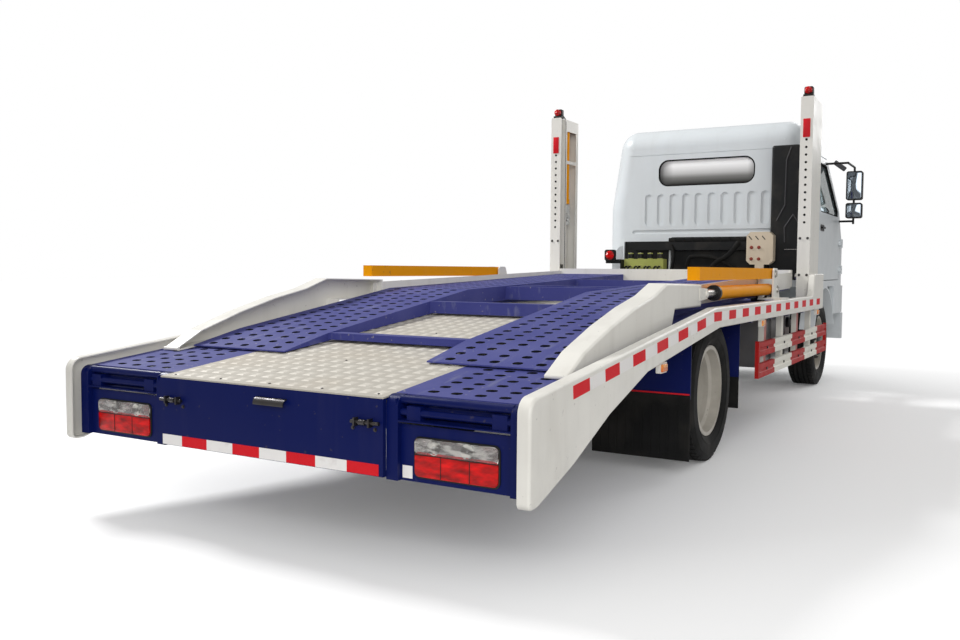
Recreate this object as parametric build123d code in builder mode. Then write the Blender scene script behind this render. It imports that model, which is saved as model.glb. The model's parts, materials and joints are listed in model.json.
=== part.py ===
"""Two-level flatbed tow truck: kinked lower deck, tilting upper deck on lift posts, cab over the front axle.

Frame: +X forward, +Y to the left, +Z up, ground at z = 0, origin below the middle of the truck.
Stations are distances forward of the rear end of the side rails. Heights are above the ground.
"""
from build123d import *
from math import asin, cos, radians, sin, tan
import os

os.makedirs("parts", exist_ok=True)

# Driving dimensions, in millimetres and degrees
rear_overhang = 2630
wheelbase = 4170
front_overhang = 1200
overall_width = 2450
plate = 6
running_gap = 0.3
moving_gap = 8

# Wheels
tyre_radius = 419
tyre_width = 248
rim_radius = 255
twin_gap = 32
rear_tyre_inset = 135
front_tyre_inset = 240
hub_radius = 130
spindle_radius = 45
kingpin_inset = 47

# Ladder frame
frame_rise = 381
frame_width = 810
frame_flange = 65
frame_web = 8
frame_depth = 180
frame_tail_depth = 120

# Lower deck: a slope from the rear end to the kink, then level
deck_slope = 6.1
kink_behind_axle = 443
bearer_depth = 78
bearer_width = 60
rail_lip = 45
rail_flange = 50
rail_edge_radius = 12
track_inner = 600
beam_face = 30
box_face = 50
post_depth_along = 60
deck_to_cab = 630

# Perforation of the wheel tracks
slot_length = 48
slot_width = 34
lower_slot_pitch = (81.5, 102)
upper_slot_pitch = (85, 110)

# Upper deck, lowered; lifts are above the lower deck's surface
upper_pivot_station = 500
pivot_bar_radius = 9
upper_tip_station = 600
upper_knee_station = 920
upper_knee_lift = 48
bend_ahead_of_kink = 113
upper_bend_lift = 113
upper_front_slope = 2.0
upper_track_inner = 410
upper_track_inset = 195
upper_rail_inset = 95

# Lift posts
post_depth = 390
post_width = 100
post_inset = 50
post_rise = 1666
post_slot = 95
lock_hole_radius = 8
lock_hole_pitch = 61
lock_hole_count = 12

# Tilt cylinders and lift arms
cylinder_inset = 121
cylinder_rise = 116
arm_rise = 226
arm_pivot_behind_post = 1160
barrel_radius = 40
rod_radius = 24
pin_radius = 14

# Cab
cab_rear_setback = 720
bumper_reach = 80
cab_half_width = 1020
cab_floor_rise = 180
cab_wall = 50
cab_corner = 190
cab_height = 1565
door_gap = 7

# Places worked out from them
overall_length = rear_overhang + wheelbase + front_overhang
rear_x = -overall_length / 2
half_width = overall_width / 2
slope = tan(radians(deck_slope))
axle_height = tyre_radius
rear_axle_station = rear_overhang
front_axle_station = rear_overhang + wheelbase
frame_top = axle_height + frame_rise
frame_bottom = frame_top - frame_depth
kink_height = frame_top + bearer_depth + plate
kink_station = rear_axle_station - kink_behind_axle
deck_rear_height = kink_height - kink_station * slope
cab_rear_station = front_axle_station - cab_rear_setback
cab_face_station = overall_length - bumper_reach
cab_floor = frame_top + cab_floor_rise
deck_front_station = cab_rear_station - deck_to_cab
track_outer = half_width - rail_flange
post_station = deck_front_station - post_depth
post_outer = half_width - post_inset
post_inner = post_outer - post_width
post_y = post_outer - post_width / 2
post_top = kink_height + post_rise
rear_tyre_outer = half_width - rear_tyre_inset
front_tyre_outer = half_width - front_tyre_inset
twin_pitch = tyre_width + twin_gap
kingpin_offset = front_tyre_outer - tyre_width - kingpin_inset


def side_plane(y):
    """Plane along the truck at y: local x is the station, local y the height, normal to the right."""
    return Plane(origin=(rear_x, y, 0), x_dir=(1, 0, 0), z_dir=(0, -1, 0))


def cross_plane(station):
    """Plane across the truck: local x is to the left, local y the height, normal forward."""
    return Plane(origin=(rear_x + station, 0, 0), x_dir=(0, 1, 0), z_dir=(1, 0, 0))


def level_plane(height):
    """Level plane: local x is the station, local y to the left, normal upward."""
    return Plane(origin=(rear_x, 0, height), x_dir=(1, 0, 0), z_dir=(0, 0, 1))


def deck_height(station):
    """Height of the lower deck's surface."""
    return deck_rear_height + min(station, kink_station) * slope


def outline(points, plane, rounds=(), inset=0):
    """Closed outline on a plane. Rounds are (corner number, radius); the inset shrinks the finished outline."""
    with BuildSketch(plane) as shape:
        with BuildLine():
            Polyline(*points, close=True)
        make_face()
        for corner, radius in rounds:
            fillet(shape.vertices().sort_by_distance(points[corner])[0], radius)
        if inset:
            offset(amount=-inset, kind=Kind.INTERSECTION)
    return shape.sketch


def prism(points, plane, depth, both=False, rounds=(), mode=Mode.ADD):
    """Extrude a closed outline from a plane."""
    extrude(outline(points, plane, rounds), amount=depth, both=both, mode=mode)


def side_prism(points, side, inner, outer, rounds=(), inset=0, mode=Mode.ADD):
    """Extrude a side outline between two distances from the middle, on the left (1) or the right (-1)."""
    plane = side_plane(max(side * inner, side * outer))
    extrude(outline(points, plane, rounds, inset), amount=outer - inner, mode=mode)


def block(stations, ys, heights, mode=Mode.ADD):
    """A rectangular piece between two stations, two sideways places and two heights."""
    with BuildSketch(level_plane(heights[0])) as base:
        with Locations(((stations[0] + stations[1]) / 2, (ys[0] + ys[1]) / 2)):
            Rectangle(abs(stations[1] - stations[0]), abs(ys[1] - ys[0]))
    extrude(base.sketch, amount=heights[1] - heights[0], mode=mode)


def round_bar(plane, centre, radius, length, both=False, mode=Mode.ADD):
    """A round bar along a plane's normal."""
    with BuildSketch(plane) as disc:
        with Locations(centre):
            Circle(radius)
    extrude(disc.sketch, amount=length, both=both, mode=mode)


def cross_bar(station, height, radius, first_y, last_y, mode=Mode.ADD):
    """A round bar across the truck between two sideways places."""
    round_bar(side_plane(max(first_y, last_y)), (station, height), radius, abs(last_y - first_y), mode=mode)


def save(builder, name):
    """Label a finished piece and write its file."""
    builder.part.label = name
    export_step(builder.part, f"parts/{name}.step")


# Ladder frame: two channels that follow the deck down behind the kink, and their cross-members
frame_rear_station = beam_face + plate
frame_front_station = cab_face_station - 100
frame_taper_station = rear_axle_station - 780
frame_drop = bearer_depth + plate
frame_rear_top = deck_height(frame_rear_station) - frame_drop
frame_side = [(frame_rear_station, frame_rear_top), (kink_station, frame_top),
              (frame_front_station, frame_top),
              (frame_front_station, frame_bottom), (frame_taper_station, frame_bottom),
              (frame_rear_station, frame_rear_top - frame_tail_depth)]
frame_inner = frame_width / 2 - frame_flange
rail_middle = frame_width / 2 - frame_flange / 2
cross_member = (80, 110)
cross_member_drop = 30
cross_member_stations = [150, 900, 1700, rear_axle_station + 870, rear_axle_station + 1870,
                         cab_rear_station - 580,
                         frame_front_station - 120]
cab_mount_stations = (cab_rear_station + 300, front_axle_station + 700)
rack_station = cab_rear_station - 270
rack_height = frame_top + 330
rack_half_span = 800
strut = 60
with BuildPart() as chassis_frame:
    side_prism(frame_side, 1, frame_inner, frame_width / 2)
    side_prism(frame_side, 1, frame_inner, frame_width / 2 - frame_web, inset=frame_web, mode=Mode.SUBTRACT)
    mirror(about=Plane.XZ)
    for station in cross_member_stations:
        top = deck_height(station) - frame_drop - cross_member_drop
        block((station - cross_member[0] / 2, station + cross_member[0] / 2),
              (-frame_width / 2 + frame_web, frame_width / 2 - frame_web), (top - cross_member[1], top))
    for side in (-1, 1):
        y = side * rail_middle
        for station in cab_mount_stations:
            block((station - 45, station + 45), (y - strut / 2, y + strut / 2), (frame_top, cab_floor))
        block((rack_station - strut / 2, rack_station + strut / 2), (y - strut / 2, y + strut / 2),
              (frame_top, rack_height))
    block((rack_station - strut / 2, rack_station + strut / 2), (-rack_half_span, rack_half_span),
          (rack_height - 40, rack_height))
save(chassis_frame, "chassis_frame")

# White side rails: trays open inwards, deep at the rear, with a foot for the posts at the front
# (station, drop below the deck)
rail_bottom_drops = [(0, 330), (60, 336), (352, 275), (696, 173), (1131, 90)]
rail_front_drop = 67
rail_level_station = kink_station + 90
foot_height = kink_height + 226
rail_side = [(station, deck_height(station) - drop) for station, drop in rail_bottom_drops]
rail_side += [(rail_level_station, kink_height - rail_front_drop),
              (deck_front_station, kink_height - rail_front_drop), (deck_front_station, foot_height),
              (post_station, foot_height), (post_station - 60, kink_height + rail_lip),
              (kink_station, kink_height + rail_lip), (0, deck_rear_height + rail_lip)]
rail_rounds = [(0, 25), (1, 40), (8, 40), (9, 60), (11, 60)]
with BuildPart() as side_rails:
    side_prism(rail_side, 1, half_width - rail_flange, half_width, rounds=rail_rounds)
    fillet(side_rails.faces().sort_by(Axis.Y)[-1].edges(), rail_edge_radius)
    side_prism(rail_side, 1, half_width - rail_flange, half_width - plate, rounds=rail_rounds, inset=plate,
               mode=Mode.SUBTRACT)
    mirror(about=Plane.XZ)
save(side_rails, "side_rails")

# Bearers across the frame under the deck; they leave the rear wheels free
wheel_zone = tyre_radius + 60
ramp_box_end = 1800
tunnel_inner = 640
full_reach = half_width - rail_flange
front_bearers = 5
front_bearer_first = rear_axle_station + wheel_zone + 71
front_bearer_last = deck_front_station - 70
bearers = [  # (station, reach to each side)
    (450, tunnel_inner), (1000, tunnel_inner), (1550, tunnel_inner),
    (rear_axle_station - wheel_zone - 201, full_reach), (rear_axle_station - wheel_zone - 71, full_reach),
    (rear_axle_station - 150, frame_width / 2), (rear_axle_station + 150, frame_width / 2)]
front_bearer_pitch = (front_bearer_last - front_bearer_first) / (front_bearers - 1)
bearers += [(front_bearer_first + step * front_bearer_pitch, full_reach) for step in range(front_bearers)]


def under_deck(top_drop, bottom_drop, first, last):
    """Side outline of a strip that runs parallel to the deck, by its drops below the surface."""
    return [(first, deck_height(first) - top_drop), (last, deck_height(last) - top_drop),
            (last, deck_height(last) - bottom_drop), (first, deck_height(first) - bottom_drop)]


with BuildPart() as deck_bearers:
    for station, reach in bearers:
        prism(under_deck(plate, plate + bearer_depth, station - bearer_width / 2,
                         station + bearer_width / 2),
              side_plane(reach), 2 * reach)
save(deck_bearers, "deck_bearers")


def deck_plate(inner, outer, first, last):
    """A kinked plate of the deck between two sideways places."""
    prism([(first, deck_height(first)), (kink_station, kink_height), (last, kink_height),
           (last, kink_height - plate), (kink_station, kink_height - plate),
           (first, deck_height(first) - plate)],
          side_plane(outer), outer - inner)


def pierce(first, last, columns, middle, pitch):
    """Cut a grid of oblong slots, long axis across, up through both wheel tracks."""
    rows = int((last - first) / pitch[0]) + 1
    with BuildSketch(level_plane(axle_height)) as slots:
        with Locations([(first + (rows - 1) * pitch[0] / 2, side * middle) for side in (-1, 1)]):
            with GridLocations(pitch[0], pitch[1], rows, columns):
                SlotOverall(slot_length, slot_width, rotation=90)
    extrude(slots.sketch, amount=post_top, mode=Mode.SUBTRACT)


# Wheel tracks, pierced where the upper deck leaves them open, and the tread plate between them
deck_plate_end = deck_front_station - 10
track_start = box_face + post_depth_along + 2
first_slot_station = track_start + 60
with BuildPart() as lower_tracks:
    deck_plate(track_inner, track_outer, track_start, deck_plate_end)
    mirror(about=Plane.XZ)
    pierce(first_slot_station, upper_knee_station, 4, (track_inner + track_outer) / 2 - 5, lower_slot_pitch)
save(lower_tracks, "lower_tracks")

with BuildPart() as tread_plate:
    deck_plate(-track_inner, track_inner, beam_face, deck_plate_end)
save(tread_plate, "tread_plate")

# Rear beam, a channel open to the front
beam_depth = 80
beam_bottom = deck_rear_height - 295
beam_top = deck_height(beam_face) - plate
with BuildPart() as rear_beam:
    block((beam_face, beam_face + beam_depth), (-track_inner, track_inner), (beam_bottom, beam_top))
    block((beam_face + plate, beam_face + beam_depth), (-track_inner, track_inner),
          (beam_bottom + plate, beam_top - plate), mode=Mode.SUBTRACT)
save(rear_beam, "rear_beam")

# Spring latches that hold the ramps, and the half-round pull in the middle of the beam
latch_height = deck_rear_height - 95
latch_y = 515
latch_reach = beam_face - 4
pull_height = deck_rear_height - 65
pull_radius = 24
pull_y = -50
pull_half_length = 80
with BuildPart() as rear_latches:
    for side in (-1, 1):
        for end_y in (latch_y - 38, latch_y + 30):
            block((beam_face - latch_reach, beam_face), (side * end_y, side * (end_y + 8)),
                  (latch_height - 16, latch_height + 16))
        cross_bar(beam_face - 13, latch_height, 7, side * (latch_y - 55), side * (latch_y + 75))
        cross_bar(beam_face - 13, latch_height, 11, side * (latch_y - 16), side * (latch_y + 12))
    cross_bar(beam_face - 2, pull_height, pull_radius, pull_y - pull_half_length, pull_y + pull_half_length)
    cross_bar(beam_face - 2, pull_height, pull_radius - 4, pull_y - pull_half_length - 1,
              pull_y + pull_half_length + 1, mode=Mode.SUBTRACT)
    block((beam_face - 40, beam_face + pull_radius), (pull_y - pull_half_length, pull_y + pull_half_length),
          (pull_height - pull_radius - 1, pull_height - 6), mode=Mode.SUBTRACT)
    block((beam_face, beam_face + pull_radius), (pull_y - pull_half_length, pull_y + pull_half_length),
          (pull_height - pull_radius, pull_height + pull_radius), mode=Mode.SUBTRACT)
save(rear_latches, "rear_latches")

# Ramp boxes: channels under the wheel tracks, with bent corner posts and lamp panels at the rear
ramp_width = 420
ramp_depth = 52
tunnel_depth = 78
tunnel_outer = track_outer - 25
tunnel_wall = 5
post_stock = 52
panel_station = box_face + 24
lamp_bottom = deck_rear_height - 265
lamp_height = 127
panel_bottom = deck_rear_height - 305
panel_top = deck_rear_height - 95
lamp_middle_y = (track_inner + track_outer) / 2 + 18
lamp_length = 325
lamp_radius = 22
box_top = deck_height(box_face + post_depth_along)
roller_radius = 16
roller_drop = 9
with BuildPart() as ramp_boxes:
    prism(under_deck(plate, plate + tunnel_depth + tunnel_wall, box_face, ramp_box_end),
          side_plane(tunnel_outer), tunnel_outer - tunnel_inner)
    prism(under_deck(plate - 1, plate + tunnel_depth, box_face - 1, ramp_box_end + 1),
          side_plane(tunnel_outer - tunnel_wall), tunnel_outer - tunnel_inner - 2 * tunnel_wall,
          mode=Mode.SUBTRACT)
    post_ahead = box_face + post_depth_along
    post_side = [(box_face, panel_bottom), (box_face, box_top), (post_ahead, box_top),
                 (post_ahead, panel_bottom)]
    for inner in (track_inner, track_outer - post_stock):
        side_prism(post_side, 1, inner, inner + post_stock, rounds=[(1, 42)])
    cross_bar(box_face + post_depth_along / 2, deck_height(box_face) - roller_drop, roller_radius,
              track_inner + post_stock - 1, track_outer - post_stock + 1)
    block((panel_station, panel_station + plate), (track_inner + post_stock, track_outer - post_stock),
          (panel_bottom, panel_top))
    with BuildSketch(cross_plane(panel_station - 1)):
        with Locations((lamp_middle_y, lamp_bottom + lamp_height / 2)):
            RectangleRounded(lamp_length + 4, lamp_height + 4, lamp_radius)
    extrude(amount=plate + 2, mode=Mode.SUBTRACT)
    mirror(about=Plane.XZ)
save(ramp_boxes, "ramp_boxes")

# Tail lamps: a lens through the panel's opening, on a housing that seats behind the panel
with BuildPart() as tail_lamps:
    with BuildSketch(cross_plane(box_face + 8)):
        with Locations((lamp_middle_y, lamp_bottom + lamp_height / 2)):
            RectangleRounded(lamp_length, lamp_height, lamp_radius)
    extrude(amount=panel_station + plate - box_face - 8)
    fillet(tail_lamps.faces().sort_by(Axis.X)[0].edges(), 6)
    block((panel_station + plate, panel_station + plate + 30),
          (lamp_middle_y - lamp_length / 2 - 12, lamp_middle_y + lamp_length / 2 + 12),
          (lamp_bottom - 12, lamp_bottom + lamp_height + 12))
    mirror(about=Plane.XZ)
save(tail_lamps, "tail_lamps")

# Pull-out ramps: two rails, round rungs and a pull tube at the rear, resting on the channel's floor
ramp_length = 1600
ramp_start = 60
ramp_rail = 60
rung_pitch = 200
rung_count = 8
rung_radius = 18
rung_reach = ramp_width / 2 - 10
pull_tube_radius = 14
ramp_middle = (tunnel_inner + tunnel_outer) / 2
ramp_drop = plate + tunnel_depth - ramp_depth - running_gap
tube_reach = (track_outer - track_inner) / 2 - post_stock - 3
for name, side in (("left", 1), ("right", -1)):
    with BuildPart() as ramp:
        for offset_y in (-(ramp_width - ramp_rail) / 2, (ramp_width - ramp_rail) / 2):
            prism(under_deck(ramp_drop, ramp_drop + ramp_depth, ramp_start, ramp_start + ramp_length),
                  side_plane(side * ramp_middle + offset_y + ramp_rail / 2), ramp_rail)
        for rung in range(rung_count):
            station = ramp_start + 60 + rung * rung_pitch
            centre = deck_height(station) - ramp_drop - ramp_depth / 2
            round_bar(side_plane(side * ramp_middle), (station, centre), rung_radius, rung_reach, both=True)
        tube_station = ramp_start + pull_tube_radius
        round_bar(side_plane(side * (track_inner + track_outer) / 2),
                  (tube_station, deck_height(tube_station) - ramp_drop - ramp_depth / 2),
                  pull_tube_radius, tube_reach, both=True)
    save(ramp, f"ramp_{name}")

# Lift posts: rear plate with locking holes, slot, outer web, and a windowed inner web with a stiffener
post_front = post_station + post_depth
slot_station = post_station + 10
slot_end = slot_station + post_slot
window_stations = (slot_end + 30, post_front - 50)
window_bottom = kink_height + 116
window_top = post_top - 110
stiffener_height = post_top - 400
lowest_lock_hole = kink_height + 646
with BuildPart() as lift_posts:
    block((post_station, post_front), (post_inner, post_outer), (kink_height, post_top))
    fillet(lift_posts.edges().filter_by(Axis.X).sort_by(Axis.Z)[-2:], 10)
    block((slot_station, slot_end), (post_inner - 1, post_outer - plate), (kink_height - 1, post_top + 1),
          mode=Mode.SUBTRACT)
    block((slot_end + plate, post_front - plate), (post_inner + plate, post_outer - plate),
          (kink_height - 1, post_top - 40), mode=Mode.SUBTRACT)
    block(window_stations, (post_inner - 1, post_inner + plate + 1), (window_bottom, window_top),
          mode=Mode.SUBTRACT)
    block((window_stations[0] - 1, window_stations[1] + 1), (post_inner, post_inner + plate),
          (stiffener_height - 15, stiffener_height + 15))
    for hole in range(lock_hole_count):
        height = lowest_lock_hole + hole * lock_hole_pitch
        round_bar(cross_plane(post_station - 1), (post_y, height), lock_hole_radius,
                  14, mode=Mode.SUBTRACT)
    mirror(about=Plane.XZ)
save(lift_posts, "lift_posts")

# Post cylinders hang in the posts; their rods push the sheave blocks down
post_cylinder_station = post_station + 210
post_barrel_radius = 38
post_barrel_bore = 31
post_rod_radius = 18
post_barrel_length = 750
post_barrel_wall = 100
post_barrel_top = post_top - 40
post_barrel_bottom = post_barrel_top - post_barrel_length
with BuildPart() as post_cylinders:
    round_bar(level_plane(post_barrel_bottom), (post_cylinder_station, post_y), post_barrel_radius,
              post_barrel_length)
    round_bar(level_plane(post_barrel_bottom), (post_cylinder_station, post_y), post_barrel_radius + 6, 45)
    round_bar(level_plane(post_barrel_bottom + 30), (post_cylinder_station, post_y), post_barrel_bore,
              post_barrel_length - post_barrel_wall - 30, mode=Mode.SUBTRACT)
    round_bar(level_plane(post_barrel_bottom - 1), (post_cylinder_station, post_y),
              post_rod_radius + running_gap, 40,
              mode=Mode.SUBTRACT)
    mirror(about=Plane.XZ)
save(post_cylinders, "post_cylinders")

sheave_block_top = post_barrel_bottom - 15
sheave_block_height = 185
with BuildPart() as lift_rods:
    round_bar(level_plane(sheave_block_top), (post_cylinder_station, post_y), post_rod_radius,
              post_barrel_length - post_barrel_wall - 40)
    round_bar(level_plane(post_barrel_top - post_barrel_wall - 60), (post_cylinder_station, post_y),
              post_barrel_bore - 1, 40)
    block((post_cylinder_station - 45, post_cylinder_station + 55), (post_y - 26, post_y + 26),
          (sheave_block_top - sheave_block_height, sheave_block_top))
    cross_bar(post_cylinder_station, sheave_block_top - 110, 40, post_y - 34, post_y - 26)
    cross_bar(post_cylinder_station, sheave_block_top - 110, 14, post_y - 38, post_y - 34)
    mirror(about=Plane.XZ)
save(lift_rods, "lift_rods")

# Carriages in the posts' slots; the pins point at the upper deck
carriage_bottom = kink_height + 116
carriage_height = 180
with BuildPart() as lift_carriages:
    block((slot_station + running_gap, slot_end - running_gap),
          (post_inner + moving_gap, post_outer - plate - moving_gap),
          (carriage_bottom, carriage_bottom + carriage_height))
    cross_bar((slot_station + slot_end) / 2, carriage_bottom + carriage_height / 2, 24, post_inner - 20,
              post_inner + moving_gap)
    mirror(about=Plane.XZ)
save(lift_carriages, "lift_carriages")

# Lamps on the posts' tops
lamp_side = [(post_station, post_top), (post_station, post_top + 85), (post_station + 90, post_top + 85),
             (post_station + 90, post_top)]
with BuildPart() as post_lamps:
    side_prism(lamp_side, 1, post_inner + 10, post_outer - 10, rounds=[(1, 18), (2, 18)])
    mirror(about=Plane.XZ)
save(post_lamps, "post_lamps")

# Upper deck: two pierced tracks on deep side plates, tied by cross-members, on feet at the front
upper_bend_station = kink_station + bend_ahead_of_kink
upper_front_station = post_station + 20
front_beam_station = upper_front_station - 80
upper_track_outer = half_width - upper_track_inset
upper_rail_outer = half_width - upper_rail_inset
upper_column = [  # (station, height of the track's surface)
    (upper_tip_station, deck_height(upper_tip_station) + moving_gap + plate),
    (upper_knee_station, deck_height(upper_knee_station) + upper_knee_lift),
    (upper_bend_station, kink_height + upper_bend_lift),
    (front_beam_station, kink_height + upper_bend_lift
     + (front_beam_station - upper_bend_station) * tan(radians(upper_front_slope)))]


def upper_height(station):
    """Height of the upper deck's surface, lowered."""
    for (first, low), (last, high) in zip(upper_column, upper_column[1:]):
        if station <= last:
            return low + (station - first) * (high - low) / (last - first)
    return upper_column[-1][1]


track_front_depth = 110
hollow_start = upper_tip_station + 100
foot_stations = (front_beam_station - 360, front_beam_station - 280)
upper_members = [  # (station, depth)
    (970, 34), (upper_bend_station - 400, 70), (upper_bend_station + 540, 90),
    (upper_bend_station + 720, 90),
    (upper_bend_station + 1700, 90)]
with BuildPart() as upper_deck:
    under = [(front_beam_station, upper_column[-1][1] - track_front_depth),
             (upper_bend_station, kink_height + 2 * moving_gap), (kink_station, kink_height + moving_gap),
             (upper_tip_station, deck_height(upper_tip_station) + moving_gap)]
    side_prism(upper_column + under, 1, upper_track_inner, upper_track_outer)
    hollow = [(hollow_start, upper_height(hollow_start) - plate)]
    hollow += [(station, height - plate) for station, height in upper_column[1:-1]]
    hollow += [(front_beam_station + 1, upper_column[-1][1] - plate), (front_beam_station + 1, axle_height),
               (hollow_start, axle_height)]
    side_prism(hollow, 1, upper_track_inner + plate, upper_track_outer - plate, mode=Mode.SUBTRACT)
    block(foot_stations, (upper_track_inner, upper_track_inner + 60),
          (kink_height + running_gap, upper_height(foot_stations[0]) - plate))
    mirror(about=Plane.XZ)
    for station, depth in upper_members:
        top = upper_height(station) - plate
        block((station - 45, station + 45), (-upper_track_inner, upper_track_inner), (top - depth, top))
    pierce(upper_tip_station + 50, front_beam_station - 60, 5, (upper_track_inner + upper_track_outer) / 2,
           upper_slot_pitch)
save(upper_deck, "upper_deck")

# White side rails of the upper deck: pressed rear rails that turn on the pivot bar, beams and front beam
cylinder_y = half_width - cylinder_inset
cylinder_height = kink_height + cylinder_rise
block_station = upper_bend_station - 80
rod_eye_station = upper_bend_station
pivot_height = deck_height(upper_pivot_station) + pivot_bar_radius + 1
upper_rail_lifts = [(650, 80), (930, 138), (1210, 179), (1460, 200),
                    (1650, 238)]  # (station, lift over the deck)
block_top_lift = 171
block_bottom_lift = 46
rail_foot_gap = 12
beam_plate = 12
upper_rail_side = [(upper_pivot_station, pivot_height - pivot_bar_radius),
                   (upper_pivot_station, pivot_height + pivot_bar_radius)]
upper_rail_side += [(station, deck_height(station) + lift) for station, lift in upper_rail_lifts]
upper_rail_side += [(block_station, kink_height + block_top_lift),
                    (block_station, kink_height + block_bottom_lift),
                    (block_station - 450, kink_height + block_bottom_lift),
                    (block_station - 490, deck_height(block_station - 490) + rail_foot_gap)]
rear_rail_width = upper_rail_outer - upper_track_outer
lug = 8
lug_gap = 22
lug_lap = 40
lug_side = [(block_station - lug_lap, cylinder_height - 35),
            (block_station - lug_lap, cylinder_height + 35),
            (rod_eye_station + 28, cylinder_height + 28), (rod_eye_station + 28, cylinder_height - 28)]
with BuildPart() as upper_side_rails:
    side_prism(upper_rail_side, 1, upper_track_outer, upper_rail_outer, rounds=[(2, 60), (5, 30), (6, 60)])
    outer_edges = upper_side_rails.faces().sort_by(Axis.Y)[-1].edges()
    fillet(outer_edges.filter_by(lambda edge: edge.center().Z > kink_height), rail_edge_radius)
    side_prism(upper_rail_side, 1, upper_track_outer, upper_rail_outer - plate, inset=plate,
               mode=Mode.SUBTRACT)
    cross_bar(upper_pivot_station, pivot_height, pivot_bar_radius, upper_track_outer, upper_rail_outer)
    beam_side = [(block_station - 1, kink_height + block_bottom_lift),
                 (block_station - 1, kink_height + 156),
                 (front_beam_station, kink_height + 236), (front_beam_station, kink_height + 106)]
    side_prism(beam_side, 1, upper_track_outer, upper_track_outer + beam_plate)
    block((front_beam_station, front_beam_station + 60), (0, upper_track_outer + beam_plate),
          (kink_height + 116, kink_height + 256))
    for inner in (cylinder_y - lug_gap - lug, cylinder_y + lug_gap):
        side_prism(lug_side, 1, inner, inner + lug, rounds=[(2, 20), (3, 20)])
    for inner in (cylinder_y - lug_gap - lug - 8, cylinder_y + lug_gap + lug):
        cross_bar(rod_eye_station, cylinder_height, 18, inner, inner + 8)
    mirror(about=Plane.XZ)
save(upper_side_rails, "upper_side_rails")

# Tilt cylinders beside the upper deck: barrels on base pins, rods whose eyes carry their pins
arm_pivot_station = post_station - arm_pivot_behind_post
cylinder_base_station = arm_pivot_station + 70
barrel_stations = (rod_eye_station + 270, cylinder_base_station - 40)
barrel_bore = 32
barrel_end = 40
eye_half_width = 16
base_pin_radius = 15
with BuildPart() as tilt_cylinders:
    round_bar(cross_plane(barrel_stations[0]), (cylinder_y, cylinder_height), barrel_radius,
              barrel_stations[1] - barrel_stations[0])
    round_bar(cross_plane(barrel_stations[0]), (cylinder_y, cylinder_height), barrel_radius + 5, 45)
    round_bar(cross_plane(barrel_stations[0] + 50), (cylinder_y, cylinder_height), barrel_bore,
              barrel_stations[1] - barrel_stations[0] - 50 - barrel_end, mode=Mode.SUBTRACT)
    round_bar(cross_plane(barrel_stations[0] - 1), (cylinder_y, cylinder_height), rod_radius + running_gap,
              60,
              mode=Mode.SUBTRACT)
    cross_bar(cylinder_base_station, cylinder_height, 34, cylinder_y - eye_half_width,
              cylinder_y + eye_half_width)
    block((barrel_stations[1] - 5, cylinder_base_station),
          (cylinder_y - eye_half_width, cylinder_y + eye_half_width),
          (cylinder_height - 30, cylinder_height + 30))
    cross_bar(cylinder_base_station, cylinder_height, base_pin_radius + running_gap,
              cylinder_y - 40, cylinder_y + 40, mode=Mode.SUBTRACT)
    mirror(about=Plane.XZ)
save(tilt_cylinders, "tilt_cylinders")

rod_end_station = barrel_stations[1] - barrel_end - 20
neck = 66
with BuildPart() as tilt_rods:
    round_bar(cross_plane(rod_eye_station + neck), (cylinder_y, cylinder_height), rod_radius,
              rod_end_station - rod_eye_station - neck)
    block((rod_eye_station, rod_eye_station + neck + 2),
          (cylinder_y - eye_half_width, cylinder_y + eye_half_width),
          (cylinder_height - rod_radius + 6, cylinder_height + rod_radius - 6))
    round_bar(cross_plane(rod_end_station - 40), (cylinder_y, cylinder_height), barrel_bore - 1, 40)
    cross_bar(rod_eye_station, cylinder_height, 30, cylinder_y - eye_half_width,
              cylinder_y + eye_half_width)
    cross_bar(rod_eye_station, cylinder_height, pin_radius, cylinder_y - lug_gap + 1,
              cylinder_y + lug_gap - 1)
    mirror(about=Plane.XZ)
save(tilt_rods, "tilt_rods")

# Lift arms over the cylinders, a box section each
arm_height = kink_height + arm_rise
arm_rear_station = rod_eye_station - 150
arm_half_width = 35
arm_side = [(arm_rear_station, arm_height - 35), (arm_rear_station, arm_height + 38),
            (arm_pivot_station + 50, arm_height + 38), (arm_pivot_station + 50, arm_height - 35)]
with BuildPart() as lift_arms:
    side_prism(arm_side, 1, cylinder_y - arm_half_width, cylinder_y + arm_half_width,
               rounds=[(2, 30), (3, 30)])
    cross_bar(arm_pivot_station, arm_height, base_pin_radius + running_gap, cylinder_y - 60,
              cylinder_y + 60,
              mode=Mode.SUBTRACT)
    mirror(about=Plane.XZ)
save(lift_arms, "lift_arms")

# Brackets on the side rails that carry the cylinders' base pins and the arms' pins
cheek = 10
cheek_gap = arm_half_width + 9
bracket_foot = kink_height + rail_lip
cheek_side = [(arm_pivot_station - 60, bracket_foot), (arm_pivot_station - 50, arm_height + 40),
              (arm_pivot_station + 60, arm_height + 40), (cylinder_base_station + 80, bracket_foot)]
with BuildPart() as lift_brackets:
    for inner in (cylinder_y - cheek_gap - cheek, cylinder_y + cheek_gap):
        side_prism(cheek_side, 1, inner, inner + cheek, rounds=[(1, 25), (2, 25)])
    block((arm_pivot_station - 80, cylinder_base_station + 90),
          (cylinder_y - cheek_gap - cheek, half_width - 5),
          (bracket_foot, bracket_foot + 12))
    pin_reach = cheek_gap + 8
    cross_bar(arm_pivot_station, arm_height, base_pin_radius, cylinder_y - pin_reach,
              cylinder_y + pin_reach)
    cross_bar(cylinder_base_station, cylinder_height, base_pin_radius,
              cylinder_y - pin_reach, cylinder_y + pin_reach)
    mirror(about=Plane.XZ)
save(lift_brackets, "lift_brackets")

# Side guards: two ribbed bars with end posts, on hangers under the deck
guard_stations = (rear_axle_station + 820, cab_rear_station - 30)
guard_face = half_width - 65
guard_thickness = 25
guard_bar_height = 95
guard_bottoms = (axle_height - 9, axle_height + 136)
groove_depth = 9
hanger_stations = [station for station, reach in bearers if station > guard_stations[0]]


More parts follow.
